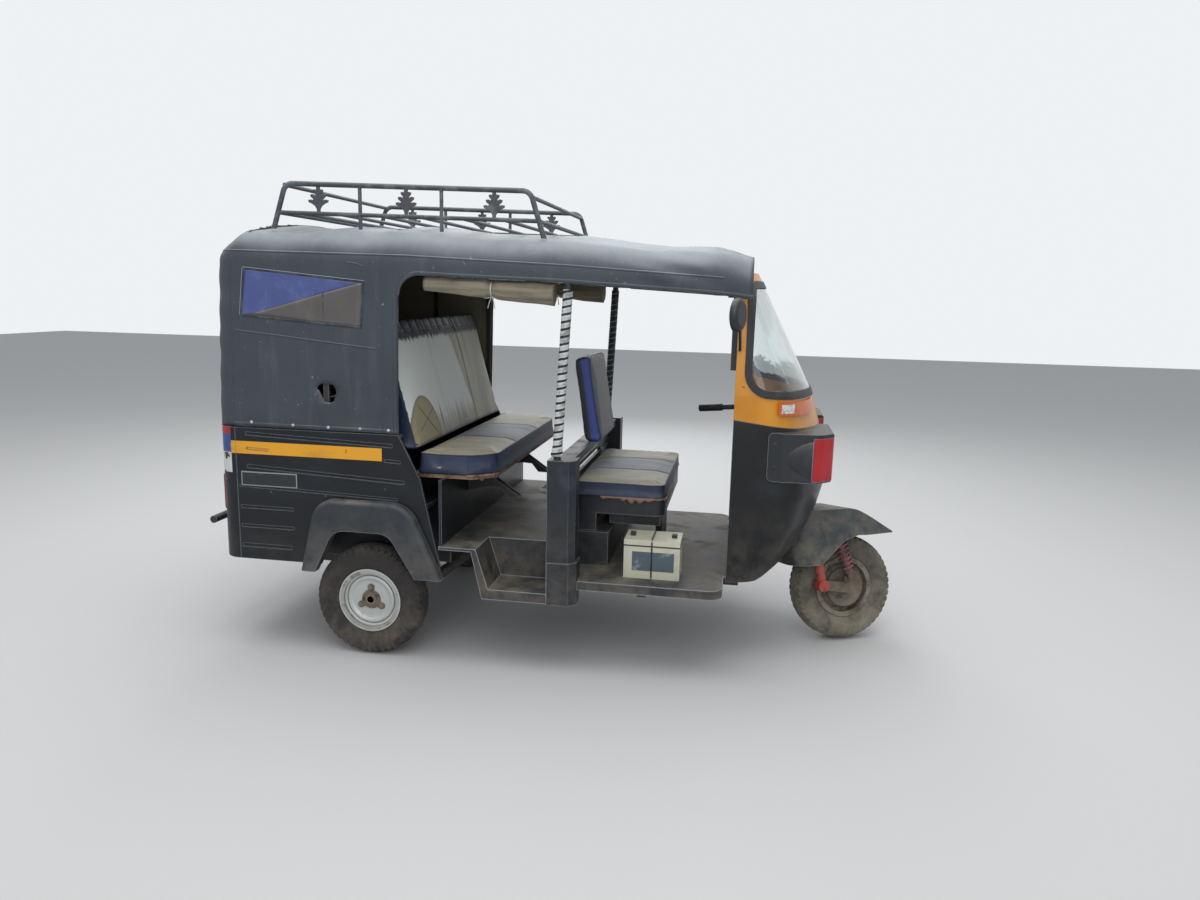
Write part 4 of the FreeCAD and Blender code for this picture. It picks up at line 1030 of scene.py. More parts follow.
def dressCanopy(word, side):
    rearTop, frontTop, frontLow, rearLow = windowFrame
    canopyPieces = [
        canopyPatch("windowBlue" + word, [rearTop, frontTop, windowSplit, rearLow], "windowBlue",
                    side),
        canopyPatch("windowBrown" + word, [frontTop, frontLow, windowSplit], "windowBrown", side),
        canopyStrip("windowRim" + word, windowFrame, 9, "bindingDark", side, 2.0, closed=True),
        canopyCord("windowPiping" + word, [(-546, 1482), (-525, 1681), (16, 1634)], 1.6,
                   "threadPale", side, 1.6),
        joinPieces("canopySeams" + word, [
            canopyStrip("seam", points, width, "canopyVinyl", side, 1.3)
            for name, (points, width) in seams.items() if side < 0 or name != "slit"]),
        canopyCord("doorBinding" + word, [(canopy["door"], 1002)] + doorOutline()[1:-2], 3.2,
                   "bindingDark", side, -1.6, gap=22),
    ]
    for piece in canopyPieces:
        settle(piece)


for word, side in sides:
    dressCanopy(word, side)
settle(canopyCord("hemBinding", [(-590, 1003), (150, 1003)], 2.4, "bindingDark", -1, 0.0, gap=40))
studPlaces = [onCanopy(x, z, side, 1.4) for _, side in sides for x, z in studs]
settle(copyPart("canopyStuds", smallDome(8, 4), [(place, facing(n)) for place, n in studPlaces],
                "rimSilver", sizeSpread=0.06))
print("canopy ready")


# Seats: each pad is swelled by a short cloth simulation, then seamed and piped

seat = {
    "pressure": 4.0, "frames": 20, "quality": 4, "grooveDepth": 5.0, "grooveWidth": 7.0,
    "pipe": 3.2, "passengerSeams": (-218, 188), "driverSeams": (-135, 150),
    "backSeams": (-213, 213),
    "ribFrom": 1418.0, "ribPitch": 88.0, "ribDepth": 7.0, "backFront": 218.0, "backLean": 0.3585,
    "driverFront": 945.0, "driverLean": 0.1546, "driverBase": 920,
}


def seatTopMarks(seams):
    def marks(tree, colour, rough):
        stain = patchMask(tree, 4.5, 0.85, 0.4, (1.0, 2.2, 1.0))
        colour = blend(stain, colour, "#a39c86")
        colour = blend(patchMask(tree, 11.0, 0.5, 0.3, (0.7, 2.5, 1.0)) * 0.6, colour, "#5d5f5d")
        middle = inBand(objectAxes(tree)[1], *(s * millimetre for s in seams), 0.003)
        return blend(middle * 0.9, colour, blend(stain * 0.55, "#4a5768", "#8b929a")), rough
    return marks


def backMarks(tree, colour, rough):
    _, y, z = objectAxes(tree)
    fine, broad = (useGroup(tree, "brushStrokes", Scale=scale, Along=along)["Value"]
                   for scale, along in ((46.0, 0.05), (13.0, 0.10)))
    colour = blend(spread(broad, 0.35, 0.7), colour, "#a8a796")
    top, low = spread(z - fine * 0.13, 1.318, 1.330), spread(z + fine * 0.26, 1.10, 1.20)
    far = spread(y + (z - 1.3) * 0.32 + broad * 0.05, 0.128, 0.150)
    colour = blend((1.0 - top) * low * (1.0 - far), colour, "#ccd2d0")
    # The creases of the white cover are painted darker as painted crease shade.
    creaseShade = spread(fine, 0.36, 0.30) * inBand(z, 0.97, 1.22, 0.06)
    colour = blend(creaseShade * 0.65, colour, "#76776f")
    across, up = (y + 0.472) / 0.150, (z - 0.975) / 0.165
    hole = across * across + up * up
    foam = spread(hole, 1.06, 0.96)
    colour = blend(foam, colour, "#8d8568")
    colour = blend(foam * spread(hole, 0.80, 1.0) * 0.6, colour, "#57503d")
    # Above 1.352 m the backrest is painted near black as a painted shadow.
    return blend(spread(z - fine * 0.05, 1.352, 1.372), colour, "#12161f"), rough


def driverBackMarks(tree, colour, rough):
    x, y, z = objectAxes(tree)
    lean = (z - seat["driverBase"] * millimetre) * seat["driverLean"]
    depth = x - (seat["driverFront"] * millimetre + axleX) + lean
    side = spread(calc("ABSOLUTE", y), 0.186, 0.196)
    colour = blend(spread(depth, -0.035, -0.045), colour, "#23272f")
    return blend(inBand(depth, -0.046, 0.02, 0.004) * side, colour, "#2b3c82"), rough


leather = ("leatherGrain", 520.0, 0.0004, 0.35)
finish("seatSide", "#16243f", 0.5, ("#263a58", 0.65, 6.0, 0.5, 0.35), None,
       (paleDust, 0.25, 0.4), bump=leather)
finish("passengerTop", "#8a877a", 0.55, dust=(paleDust, 0.2), bump=leather,
       marks=seatTopMarks(seat["passengerSeams"]))
finish("driverTop", "#8f8d83", 0.55, dust=(paleDust, 0.2), bump=leather,
       marks=seatTopMarks(seat["driverSeams"]))
finish("backTop", "#8e8f84", 0.6, bump=leather, marks=backMarks)
finish("driverBackTop", "#67696b", 0.5, ("#50586c", None, 5.0, 0.6, 0.35), bump=leather,
       marks=driverBackMarks)
finish("pipingDark", "#1a2740", 0.5)
finish("bandNavy", "#141b2b", 0.45, ("#2c3850", None, 9.0, 0.5, 0.3), bump=leather)
finish("foamPink", "#86695c", 0.95, ("#5a4037", None, 22.0, 0.5), None, ("#a39a8a", 0.3))

padTable = [  # piece, CAD node, voxel, cap, inset, rounding passes, fill
    ("passengerSeat", "passenger_cushion", 10.0, 10.0, 6.0, 8, 0.75),
    ("passengerBack", "passenger_backrest", 12.0, 16.0, 9.0, 6, 0.7),
    ("driverSeat", "driver_cushion", 9.5, 8.0, 6.0, 8, 0.7),
    ("driverBack", "driver_backrest", 8.0, 9.0, 3.0, 45, 0.65),
]
cushions = {  # seams, finish, height and half of the piped edge, torn lip: path, drops, seed
    "passengerSeat": (seat["passengerSeams"], "passengerTop", 925,
                      [(215, -655), (420, -655), (470, -633), (535, -583), (562, -530)],
                      [(440, -648), (470, -633), (535, -583), (556, -540)], 8, 34, 3),
    "driverSeat": (seat["driverSeams"], "driverTop", 792,
                   [(860, -430), (1220, -430), (1258, -413), (1275, -375)],
                   [(980, -426), (1215, -426), (1252, -408), (1270, -370), (1272, -180)], 9, 26, 8),
}
driverLoop = [(-195, 928), (-213, 1225), (-195, 1300), (-105, 1334), (105, 1334), (195, 1300),
              (213, 1225), (195, 928)]
crossStitches = (((-525, 1102), (-345, 946)), ((-354, 1072), (-554, 996)))


def pressIn(pad, depthAt):
    normals = [v.normal.copy() for v in pad.data.vertices]
    for v, normal in zip(pad.data.vertices, normals):
        v.co -= normal * (depthAt(v.co, normal) * millimetre)


def swell(name, node, voxel, cap, inset, rounding):
    shape = bmesh.new()
    shape.from_mesh(nodes[node].data)
    bmesh.ops.remove_doubles(shape, verts=list(shape.verts), dist=0.00002)
    pad = pieceFrom(name, shape)
    base = min(v.co.z for v in pad.data.vertices) + 0.004
    modify(pad, "REMESH", mode="VOXEL", voxel_size=voxel * millimetre, use_smooth_shade=True)
    modify(pad, "SMOOTH", factor=0.5, iterations=rounding)
    bake(pad)
    points = pad.data.vertices
    pinned = [v.index for v in points if v.co.z < base]
    pressIn(pad, lambda place, _: inset * ramp(place.z, base, 0.03))
    starts = [v.co.copy() for v in points]
    pad.vertex_groups.new(name="rests").add(pinned, 1.0, "REPLACE")
    cloth = modify(pad, "CLOTH")
    cloth.settings.vertex_group_mass = "rests"
    cloth.settings.use_pressure = True
    cloth.settings.uniform_pressure_force = seat["pressure"]
    cloth.settings.effector_weights.gravity = 0
    cloth.settings.quality = seat["quality"]
    cloth.collision_settings.use_collision = False
    cloth.point_cache.frame_end = seat["frames"] + 2
    for step in range(1, seat["frames"] + 1):
        bpy.context.scene.frame_set(step)
    graph = bpy.context.evaluated_depsgraph_get()
    ends = [v.co.copy() for v in pad.evaluated_get(graph).data.vertices]
    pad.modifiers.clear()
    pad.vertex_groups.clear()
    bpy.context.scene.frame_set(1)
    limit = cap * millimetre
    held = set(pinned)
    for v, a, b in zip(pad.data.vertices, starts, ends):
        move = b - a
        if move.length > 1e-7 and v.index not in held:
            v.co = a + move * (limit * math.tanh(move.length / limit) / move.length)
    return pad


def facesUp(normal):
    return normal.z > 0.62


def facesForward(normal):
    return normal.x > 0.55


def groove(pad, lines, faced):
    def depthAt(place, normal):
        if not faced(normal):
            return 0.0
        return seat["grooveDepth"] * max(
            exp(-((place.y / millimetre - line) / seat["grooveWidth"]) ** 2) for line in lines)
    pressIn(pad, depthAt)


def walk(corners, step=9.0):
    path = []
    for a, b in zip(corners, corners[1:]):
        a, b = Vector(a), Vector(b)
        count = max(1, int((b - a).length / step))
        path += [a.lerp(b, i / count) for i in range(count)]
    return path + [Vector(corners[-1])]


def piping(pad, corners, closed=True, radius=seat["pipe"]):
    surface = surfaceOf(pad)
    path = walk(corners + corners[:1], 14.0)[:-1] if closed else walk(corners, 14.0)
    hits = [surface.find_nearest(at(*p))[0] for p in path]
    return tube("pipe", hits, radius, "pipingDark", closed=closed)


def twoTone(pad, look, faced):
    mesh = pad.data
    mesh.materials.clear()
    mesh.materials.append(finishes["seatSide"])
    mesh.materials.append(finishes[look])
    for polygon in mesh.polygons:
        polygon.material_index = 1 if faced(polygon.normal) else 0


def tornLip(path, low, high, seed):
    verts = []
    for i, p in enumerate(path):
        before, after = path[max(0, i - 1)], path[min(len(path) - 1, i + 1)]
        out = (after - before).cross(Vector((0, 0, 1))).normalized()
        drop = low + (high - low) * abs(noise.noise(Vector((i * 0.23, seed, 0)))) * 2.2
        lean = 5 * noise.noise(Vector((i * 0.31, seed, 4)))
        for down, off in ((0, 2), (0, -2), (drop * 0.6, -2 + lean), (drop, lean),
                          (drop * 0.6, 2.5 + lean)):
            verts.append(at(*(p - Vector((0, 0, down)) + out * off)))
    faces = gridFaces(len(path), 5, closeColumns=True)
    faces += [ringCap(0, 5), ringCap(len(verts) - 5, 5)[::-1]]
    return faceOutward(addPiece("lip", verts, faces, "foamPink"))


def dressCushion(pad, lines, look, height, half, lip, low, high, seed):
    groove(pad, lines, facesUp)
    twoTone(pad, look, facesUp)
    edge = half + [(x, -y) for x, y in reversed(half)]
    base = min(v.co.z for v in pad.data.vertices) / millimetre
    return [piping(pad, [(x, y, height) for x, y in edge]),
            tornLip(walk([(x, y, base + 4) for x, y in lip]), low, high, seed)]


def dressPassengerBack(pad):
    groove(pad, seat["backSeams"], facesForward)
    front, ribFrom = seat["backFront"], seat["ribFrom"]

    def ribDepth(place, _):
        share = ramp(place.z / millimetre, ribFrom - 20, 24)
        wave = abs(sin(pi * place.y / millimetre / seat["ribPitch"]))
        return (1 - wave ** 0.5) * seat["ribDepth"] * share

    pressIn(pad, ribDepth)
    twoTone(pad, "backTop", facesForward)
    pad.data.materials.append(finishes["bandNavy"])
    for polygon in pad.data.polygons:
        if polygon.center.z / millimetre > ribFrom:
            polygon.material_index = 2
    face = [(front, -640, 932), (front - 206, -640, 1496), (front - 206, 640, 1496),
            (front, 640, 932)]
    bandX = front - seat["backLean"] * (ribFrom - 925) + 20
    pipes = [piping(pad, face),
             piping(pad, [(bandX, -636, ribFrom), (bandX, 636, ribFrom)], closed=False)]
    surface = surfaceOf(pad)
    for (y0, z0), (y1, z1) in crossStitches:
        path = [(y0 + (y1 - y0) * i / 8, z0 + (z1 - z0) * i / 8) for i in range(9)]
        hits = [surface.find_nearest(at(front - seat["backLean"] * (z - 925) + 10, y, z))[0]
                for y, z in path]
        pipes.append(tube("pipe", hits, 1.3, "pipingDark", sides=6))
    return pipes


def dressDriverBack(pad):
    pad.data.materials.clear()
    pad.data.materials.append(finishes["driverBackTop"])
    front, lean = seat["driverFront"], seat["driverLean"]
    return [piping(pad, [(front + shift - lean * (z - seat["driverBase"]), y, z)
                         for y, z in driverLoop], radius=2.6) for shift in (0, -77)]


def makeSeats():
    pads = {}
    for name, node, voxel, cap, inset, rounding, _ in padTable:
        pads[name] = swell(name, node, voxel, cap, inset, rounding)
        modify(pads[name], "SUBSURF", levels=1, render_levels=1)
        bake(pads[name])
    trims = {name: dressCushion(pads[name], *cushions[name]) for name in cushions}
    trims["passengerBack"] = dressPassengerBack(pads["passengerBack"])
    trims["driverBack"] = dressDriverBack(pads["driverBack"])
    for name, node, *_, fill in padTable:
        whole = joinPieces(name, [pads[name]] + trims[name])
        settle(whole, [node])


makeSeats()
print("seats ready")


# Tyres with their tread

tyre = {
    "segments": 240, "step": 3.6, "ribGrooves": (-17.0, 0.0, 17.0), "ribWidth": 4.5,
    "ribDepth": 4.5, "zigzag": 2.4, "blocks": 48, "slotShare": 0.35, "slotDepth": 6.5,
    "slotFrom": 27.0, "slotAbove": 208, "rings": (158.0, 170.0, 196.0), "ringHeight": 0.9,
    "ringBelow": 204, "sharp": 38,
}
tyreCurve = [(0, 247.3), (14, 247.0), (26, 245.8), (36, 243.6), (43, 240.8), (50, 234.5),
             (55, 227.5), (58.0, 216), (59, 205), (58.6, 194), (56.8, 182), (53, 168), (48.5, 157),
             (46, 150.5), (41, 145.4), (37, 143.8)]  # distance from the middle plane, radius


def treadDepth(y, radius, turn):
    depth = 0.0
    if abs(y) < 25:
        wave = abs((turn * tyre["blocks"] / 2) % 1.0 - 0.5) * 4 - 1
        for line in tyre["ribGrooves"]:
            off = abs(y - line - wave * tyre["zigzag"])
            depth = max(depth, tyre["ribDepth"] * ramp(tyre["ribWidth"] / 2 + 1.2 - off, 0, 1.6))
    phase = (turn * tyre["blocks"] + (0.5 if y < 0 else 0.0) + (abs(y) - 40) * 0.012) % 1.0
    if phase < tyre["slotShare"] and abs(y) > tyre["slotFrom"] and radius > tyre["slotAbove"]:
        edge = min(1.0, (abs(y) - tyre["slotFrom"]) / 3.0, (radius - tyre["slotAbove"]) / 10.0)
        depth = max(depth, tyre["slotDepth"] * edge)
    return depth


def makeTyre(name, node, body, middle, look, matrix=None):
    half = alongPath(tyreCurve, tyre["step"])
    profile = [(-y, r) for y, r in reversed(half)] + half[1:]
    verts = []
    for i in range(tyre["segments"]):
        turn = i / tyre["segments"]
        angle = circle * turn
        for y, radius in profile:
            reach = radius - treadDepth(y, radius, turn)
            if radius < tyre["ringBelow"]:
                nearest = min(abs(radius - ring) for ring in tyre["rings"])
                y -= math.copysign(tyre["ringHeight"] * min(1.0, nearest / 2.0), y)
            verts.append(middle + Vector((reach * sin(angle), y, reach * cos(angle)))
                         * millimetre)
    faces = gridFaces(tyre["segments"], len(profile), closeRows=True, closeColumns=True, flip=True)
    piece = addPiece(name, verts, faces, look)
    piece.data.set_sharp_from_angle(angle=radians(tyre["sharp"]))
    if matrix:
        piece.data.transform(matrix)
    settle(piece, [node], body)


# Rear rims, and their hubs of three lobes with nuts

hub = {"lobeAt": 55.0, "lobeRadius": 15.0, "face": 31.0, "back": 24.0, "deepest": 14.0,
       "turns": (90, 210, 330), "body": 42.0, "nutRadius": 9.0, "nutHigh": 8.0, "points": 96,
       "trackHalf": 630, "rimThick": 1.6, "rimSegments": 96}
rimFace = [  # radius and distance out from the wheel's middle plane
    (143.3, 43.6), (140, 44.2), (136.4, 43.6), (133.5, 37.5), (129, 35.6), (125.5, 35),
    (122.5, 29.5), (117, 28), (113, 27.4), (111.6, 26.4), (111.2, 21.5), (109.6, 21.5),
    (109.2, 26.6), (106.5, 29.4), (102, 31), (97, 31), (92.5, 29.2), (88.5, 26.6), (84.5, 25),
    (79, 24.4), (43, 24.2),
]


def makeRimFace(name, body, middle, side):
    profile = rimFace + [(radius, out - hub["rimThick"]) for radius, out in reversed(rimFace)]
    count = hub["rimSegments"]
    verts = []
    for i in range(count):
        angle = circle * i / count
        verts += [middle + Vector((radius * sin(angle), side * out, radius * cos(angle)))
                  * millimetre for radius, out in profile]
    faces = gridFaces(count, len(profile), closeRows=True, closeColumns=True)
    plate = addPiece(name, verts, faces, "rimBright")
    if side < 0:
        plate.data.flip_normals()
    plate.data.set_sharp_from_angle(angle=radians(40))
    settle(plate, body=body)


def lobedReach(around, grow):
    reach = hub["body"] + grow
    for turn in hub["turns"]:
        off = around - radians(turn)
        cross = hub["lobeAt"] * sin(off)
        if cos(off) > 0 and abs(cross) < hub["lobeRadius"] + grow:
            reach = max(reach, hub["lobeAt"] * cos(off)
                        + math.sqrt((hub["lobeRadius"] + grow) ** 2 - cross ** 2))
    return reach


def makeHub(name, body, middle, side):
    face, count = hub["face"], hub["points"]
    lobed = [(2.0, hub["deepest"]), (1.0, hub["back"]), (0.0, face - 2), (-2.0, face)]
    cap = [(25, face), (23, face + 5), (17, face + 6.5), (15, face + 3), (4, face + 3)]
    angles = [circle * k / count for k in range(count)]
    rings = [([lobedReach(angle, grow) for angle in angles], out) for grow, out in lobed]
    rings += [([radius] * count, out) for radius, out in cap]
    verts = [middle + Vector((reach * cos(angle), side * out, reach * sin(angle)))
             * millimetre for reaches, out in rings for reach, angle in zip(reaches, angles)]
    faces = gridFaces(len(rings), count, closeColumns=True, flip=side < 0)
    plate = addPiece("hubPlate", verts, faces + [ringCap(len(verts) - count, count)[::-side]],
                     "hubRust")
    plate.data.set_sharp_from_angle(angle=radians(35))
    nuts = []
    for angle in map(radians, hub["turns"]):
        place = Vector((hub["lobeAt"] * cos(angle), side * (face - 0.5),
                        hub["lobeAt"] * sin(angle)))
        nuts.append((middle + place * millimetre, facing((0, side, 0))))
    nut = smallNut(hub["nutRadius"], hub["nutHigh"])
    settle(joinPieces(name, [plate, copyPart("hubNuts", nut, nuts, "hubRust")]),
           body=body)


for word, side in sides:
    middle, body = at(0, side * hub["trackHalf"], tyreRadius), "rear_wheel_" + word.lower()
    makeTyre("rearTyre" + word, "rear_tyre_" + word.lower(), body, middle, "tyreRear")
    makeRimFace("rearRimFace" + word, body, middle, side)
    makeHub("rearHub" + word, body, middle, side)
makeTyre("frontTyre", "front_tyre", "front_wheel", at(wheelBase, 0, tyreRadius), "tyreFront",
         steered)
print("wheels ready")


# Front spring: one open coil round the damper, from its eye to its foot

spring = {"turns": 8.5, "radius": 27.0, "wire": 4.6, "topZ": 522.0, "lowZ": 348.0, "perTurn": 16,
          "eye": (2009.8, -108.0, 540.0), "foot": (2080.0, -108.0, 311.5)}


def crossAxes(start, end):
    along = (end - start).normalized()
    across = along.cross(Vector((0, 1, 0))).normalized()
    return along, across, along.cross(across)


def onRing(across, over, angle):
    return across * cos(angle) + over * sin(angle)


def makeSpring():
    eye, foot = Vector(spring["eye"]), Vector(spring["foot"])
    along, across, over = crossAxes(eye, foot)
    first, last = ((eye.z - spring[end]) / (eye.z - foot.z) * (foot - eye).length
                   for end in ("topZ", "lowZ"))
    count = int(spring["turns"] * spring["perTurn"])
    path = []
    for i in range(count + 1):
        place = eye + along * (first + (last - first) * i / count)
        angle = circle * i / spring["perTurn"]
        path.append(at(*(place + onRing(across, over, angle) * spring["radius"])))
    coil = tube("frontSpring", path, spring["wire"], "springRed")
    coil.data.transform(steered)
    settle(coil, body="steering")


makeSpring()


# Cloth wound on the posts, in two colours

wrap = {"radius": 19.0, "pitch": 30.0, "around": 20, "row": 2.5, "slack": 1.6, "bunch": 7.0,
        "seed": 5, "merge": 0.00005}
postEnds = ((832, 652, 938), (864.5, 638.7, 1618))


def makeWrap(name, side, pale, dark, darkShare):
    start, end = (Vector((x, side * y, z)) for x, y, z in postEnds)
    along, across, over = crossAxes(start, end)
    length = (end - start).length
    rows = int(length / wrap["row"]) + int(wrap["pitch"] / wrap["row"]) + 2
    columns = wrap["around"] + 1
    phases = [(i * wrap["row"] / wrap["pitch"]) % 1.0 for i in range(rows)]
    verts = []
    for i, phase in enumerate(phases):
        for j in range(columns):
            turn = j / wrap["around"]
            angle = circle * turn
            share = min(length, max(0.0, i * wrap["row"] - wrap["pitch"] * (1 - turn)))
            ridge = wrap["slack"] * abs(sin(circle * phase))
            crease = 0.8 * noise.noise(Vector((share * 0.05, angle * 1.3, wrap["seed"] + side)))
            top = wrap["bunch"] * exp(-(share / 30) ** 2)
            reach = wrap["radius"] + ridge + crease + top * (0.6 + 0.4 * sin(3 * angle))
            verts.append(at(*(start + along * share + onRing(across, over, angle) * reach)))
    piece = addPiece(name, verts, gridFaces(rows, columns), pale, dark)
    for polygon in piece.data.polygons:
        polygon.material_index = 1 if phases[polygon.vertices[0] // columns] < darkShare else 0
    settle(faceOutward(piece, wrap["merge"]))


makeWrap("postWrapRight", -1, "wrapWhite", "wrapBlack", 0.3)
makeWrap("postWrapLeft", 1, "wrapGrey", "wrapBlack", 0.7)


# Side curtains, rolled up and tied. Each follows the ends of its plain roll of the CAD.

roll = {"tie": 0.52, "tieDepth": 0.30, "tieWidth": 0.035, "count": 44, "around": 72, "turns": 2.4,
        "seed": 11, "endBand": 0.02, "fill": 0.8}
bowLoops = [  # look of each loop: radius, then along, over and across from the knot, in metres
    ("bow", 2.6, 6, ((0, 0, 0), (0.022, -0.012, 0), (0.040, -0.004, 0), (0.024, 0.002, -0.008))),
    ("tail", 2.2, 6, ((0, 0, 0), (0.010, -0.02, 0), (0.014, -0.05, 0))),
]


def rollEnd(side, pick):
    corners = [v.co for v in nodes["curtain_rolls"].data.vertices if v.co.y * side > 0]
    edge = pick(c.x for c in corners)
    ring = [c for c in corners if abs(c.x - edge) < roll["endBand"]]
    low, high = (Vector(f(c[i] for c in ring) for i in range(3)) for f in (min, max))
    return (low + high) / 2, (high.z - low.z) / 2


def closeRoll(verts, faces, row, centre, along, shift):
    count = roll["around"]
    ring = verts[row * count:(row + 1) * count]
    before = row * count
    for part in (0.82, 0.6, 0.35):
        begin = len(verts)
        for j, p in enumerate(ring):
            swirl = 0.5 + 0.5 * sin(circle * (part * roll["turns"] * 2) + circle * j / count)
            verts.append(centre + (p - centre) * part + along * (shift * 0.010 * swirl))
        for j in range(count):
            k = (j + 1) % count
            faces.append((before + j, before + k, begin + k, begin + j))
        before = begin
    verts.append(centre + along * (shift * 0.012))
    faces += [(before + j, before + (j + 1) % count, len(verts) - 1) for j in range(count)]


def makeRoll(name, side):
    (start, startRadius), (end, endRadius) = rollEnd(side, min), rollEnd(side, max)
    along = (end - start).normalized()
    across = along.cross(Vector((0, 0, 1))).normalized()
    over = across.cross(along)
    rows, count = roll["count"], roll["around"]
    verts = []
    for i in range(rows + 1):
        share = i / rows
        radius = (startRadius + (endRadius - startRadius) * share) * 0.95
        tie = roll["tieDepth"] * exp(-((share - roll["tie"]) / roll["tieWidth"]) ** 2)
        for j in range(count):
            angle = circle * j / count
            fold = 0.035 * sin(5 * angle + 3 * share) + 0.03 * sin(9 * angle - 7 * share)
            crease = 0.09 * noise.noise(Vector((share * 6, cos(angle) * 1.4 + roll["seed"],
                                                sin(angle) * 1.4 + side)))
            lap = 0.07 * ((j / count + 0.15 * share) % 1.0)
            reach = radius * (0.90 + lap + fold * (1 - tie) + crease - tie)
            verts.append(start + (end - start) * share + onRing(across, over, angle) * reach)
    faces = gridFaces(rows + 1, count, closeColumns=True)
    closeRoll(verts, faces, 0, start, along, 1)
    closeRoll(verts, faces, rows, end, along, -1)
    where = start.lerp(end, roll["tie"])
    radius = (startRadius + (endRadius - startRadius) * roll["tie"]) * 0.72
    ring = [where + onRing(across, over, circle * k / 16) * radius for k in range(16)]
    parts = [faceOutward(addPiece("rollBody", verts, faces, "curtainKhaki")),
             tube("tie", ring, 3.5, "clothWhite", closed=True)]
    knot = where - over * radius
    for sign in (-1, 1):
        for label, wide, edges, shifts in bowLoops:
            path = [knot + along * (a * sign) + over * b + across * (c * side)
                    for a, b, c in shifts]
            parts.append(tube(label, path, wide, "clothWhite", sides=edges))
    whole = joinPieces(name, parts)
    settle(whole, ["curtain_rolls"])


makeRoll("curtainRollRight", -1)
makeRoll("curtainRollLeft", 1)


# Battery: blank label, lid line, terminals and its strap

def makeBattery():
    parts = [cornerBox((1146, -561.0, 440), (1326, -559.6, 524), "labelSlate", 0.5, 1),
             cornerBox((1108.5, -561.5, 546), (1351.5, -398.5, 552), "lidDark", 0.8, 1)]
    parts += [cornerBox((x - 11, -500, 574), (x + 11, -470, 590), "lidDark", 2)
              for x in (1140, 1320)]
    parts += [cornerBox((x - 4, -562.5, 412), (x + 4, -559.6, 540), "batteryCream", 1)
              for x in (1124, 1336)]
    strap = [(-561.5, 410), (-562.5, 500), (-561.5, 570), (-548, 580), (-480, 581), (-412, 580),
             (-398.5, 568), (-398, 420)]
    settle(joinPieces("batteryTrim", parts))
    settle(tube("batteryStrap", [at(1230, y, z) for y, z in strap], 3.2, "lidDark"))


makeBattery()


# Body: rivets, headlamp bulge and screws, indicator insert, blank plate, seat brackets

rivetPlaces = [(-432, 716), (-178, 713), (-356, 550), (-640, 560), (-640, 760), (120, 560),
               (95, 760)]
lamp = {"face": 490.0, "tip": 1752.0, "base": 1877.0, "middle": 944.0, "high": 80.0, "proud": 13.0,
        "rows": 18, "around": 40, "screws": ((1722, 1002), (1722, 905))}
bracketSide = [(343, 790), (343, 690), (440, 712), (495, 709), (530, 666), (585, 665), (580, 676),
               (470, 752), (430, 790)]


def makeLampTrim(word, side):
    rows, count = lamp["rows"], lamp["around"]
    verts = [at(lamp["tip"], side * lamp["face"], lamp["middle"])]
    for i in range(1, rows + 1):
        share = (i / rows) ** 1.6
        half = lamp["high"] * math.sqrt(share)
        out = 1.5 + lamp["proud"] * share ** 0.7
        x = lamp["tip"] + (lamp["base"] - lamp["tip"]) * share
        for j in range(count):
            angle = circle * j / count
            lift = sin(angle) * (out if sin(angle) > 0 else 4)
            verts.append(at(x, side * (lamp["face"] + lift),
                            lamp["middle"] + half * cos(angle)))
    faces = [(0, 1 + (j + 1) % count, 1 + j) for j in range(count)]
    faces += [tuple(1 + k for k in face) for face in gridFaces(rows, count, closeColumns=True)]
    faces.append(ringCap(len(verts) - count, count))
    bulge = faceOutward(addPiece("bulge", verts, faces, "headlampGrey"))
    bulge.data.set_sharp_from_angle(angle=radians(45))
    places = [(at(x, side * 489.2, z), facing((0, side, 0))) for x, z in lamp["screws"]]
    screws = copyPart("screws", smallDome(10.0, 1.6), places, "rubberBlack")
    settle(joinPieces("headlampTrim" + word, [bulge, screws]))


def skinPlate(name, node, side, xs, zs, lift, deep, look):
    skin = surfaceOf(nodes[node])
    columns, rows = 12, 6
    front, back = [], []
    for i in range(rows + 1):
        for j in range(columns + 1):
            x = xs[0] + (xs[1] - xs[0]) * j / columns
            z = zs[0] + (zs[1] - zs[0]) * i / rows
            hit = skin.ray_cast(at(x, side * 800, z), Vector((0, -side, 0)))[0]
            hit = hit or at(x, side * 480, z)
            front.append(hit + Vector((0, side * lift * millimetre, 0)))
            back.append(hit - Vector((0, side * deep * millimetre, 0)))
    across, total = columns + 1, len(front)
    faces = []
    for near, far in zip(gridFaces(rows + 1, across), gridFaces(rows + 1, across, flip=True)):
        faces += [near, tuple(total + k for k in far)]
    rim = (list(range(columns)) + [i * across + columns for i in range(rows)]
           + [rows * across + j for j in range(columns, 0, -1)]
           + [i * across for i in range(rows, 0, -1)])
    faces += [(a, total + a, total + b, b) for a, b in zip(rim, rim[1:] + rim[:1])]
    return faceOutward(addPiece(name, front + back, faces, look, smooth=False))


def makeBrackets():
    count = len(bracketSide)
    faces = [ringCap(0, count), ringCap(count, count)[::-1]]
    faces += [(k, k + count, (k + 1) % count + count, (k + 1) % count) for k in range(count)]
    wings = []
    for low in (-322, -282, 278, 318):
        verts = [at(x, y, z) for y in (low, low + 4) for x, z in bracketSide]
        wings.append(faceOutward(addPiece("wing", verts, faces, "framePaint", smooth=False)))
    settle(joinPieces("seatBrackets", wings))


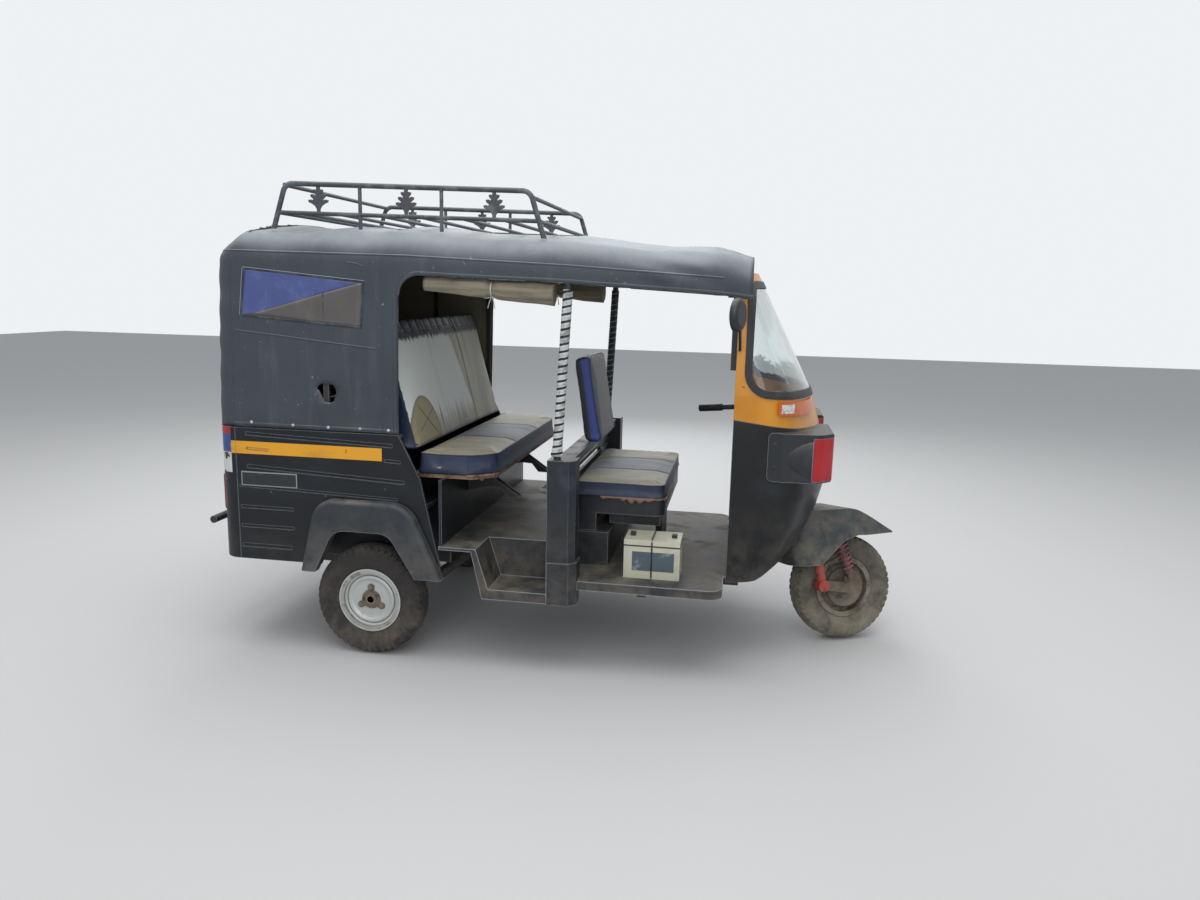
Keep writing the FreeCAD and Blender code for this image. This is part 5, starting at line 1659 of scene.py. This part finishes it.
for word, side in sides:
    places = [(at(x, side * 700.3, z), facing((0, side, 0))) for x, z in rivetPlaces]
    settle(copyPart("rivets" + word, smallDome(5.0, 2.6), places, "fenderGrey", 0.12, 3))
    makeLampTrim(word, side)
    settle(skinPlate("indicatorInsert" + word, "indicators", side, (1741, 1796), (1130, 1166), 1.4,
                     1.0, "lampClear"))
plate = [cornerBox((-569, -702.4, 741), (-307, -700.2, 805), "plateEdge", 0.8, 1),
         cornerBox((-564, -703.0, 746), (-312, -702.0, 800), "plateDark", 0.3, 1)]
settle(joinPieces("sidePlateBlank", plate))
makeBrackets()


# Cast leaves between the rails of the roof rack: half outline as width and height

leafHalf = [(7, 0), (8, 20), (16, 34), (30, 44), (44, 50), (46, 60), (36, 62), (26, 58), (22, 64),
            (34, 74), (36, 84), (26, 86), (16, 80), (13, 86), (22, 96), (23, 105), (15, 107),
            (9, 103), (8, 112), (9, 128)]
leaf = {"at": (-248, 145, 527), "thick": 9.0, "rackHalf": 537.0, "rear": (-461.0, 2037.0),
        "front": (744.0, 2010.0), "drop": 120.0}


def makeLeaves(word, side):
    outline = leafHalf + [(-w, h) for w, h in reversed(leafHalf)]
    count = len(outline)
    scale = leaf["drop"] / leafHalf[-1][1]
    (rearX, rearZ), (frontX, frontZ) = leaf["rear"], leaf["front"]
    parts = []
    for x in leaf["at"]:
        low = rearZ + (frontZ - rearZ) * ((x - rearX) / (frontX - rearX)) - leaf["drop"]
        verts = []
        for out, grow in ((-0.5, 0.86), (-0.28, 1.0), (0.28, 1.0), (0.5, 0.86)):
            y = side * leaf["rackHalf"] + out * leaf["thick"]
            verts += [at(x + w * grow, y, low + h * scale) for w, h in outline]
        faces = gridFaces(4, count, closeColumns=True)
        faces += [ringCap(0, count), ringCap(3 * count, count)[::-1]]
        parts.append(faceOutward(addPiece("leaf", verts, faces, "rackPaint", smooth=False)))
    settle(joinPieces("rackLeaves" + word, parts))


for word, side in sides:
    makeLeaves(word, side)
print("details ready")
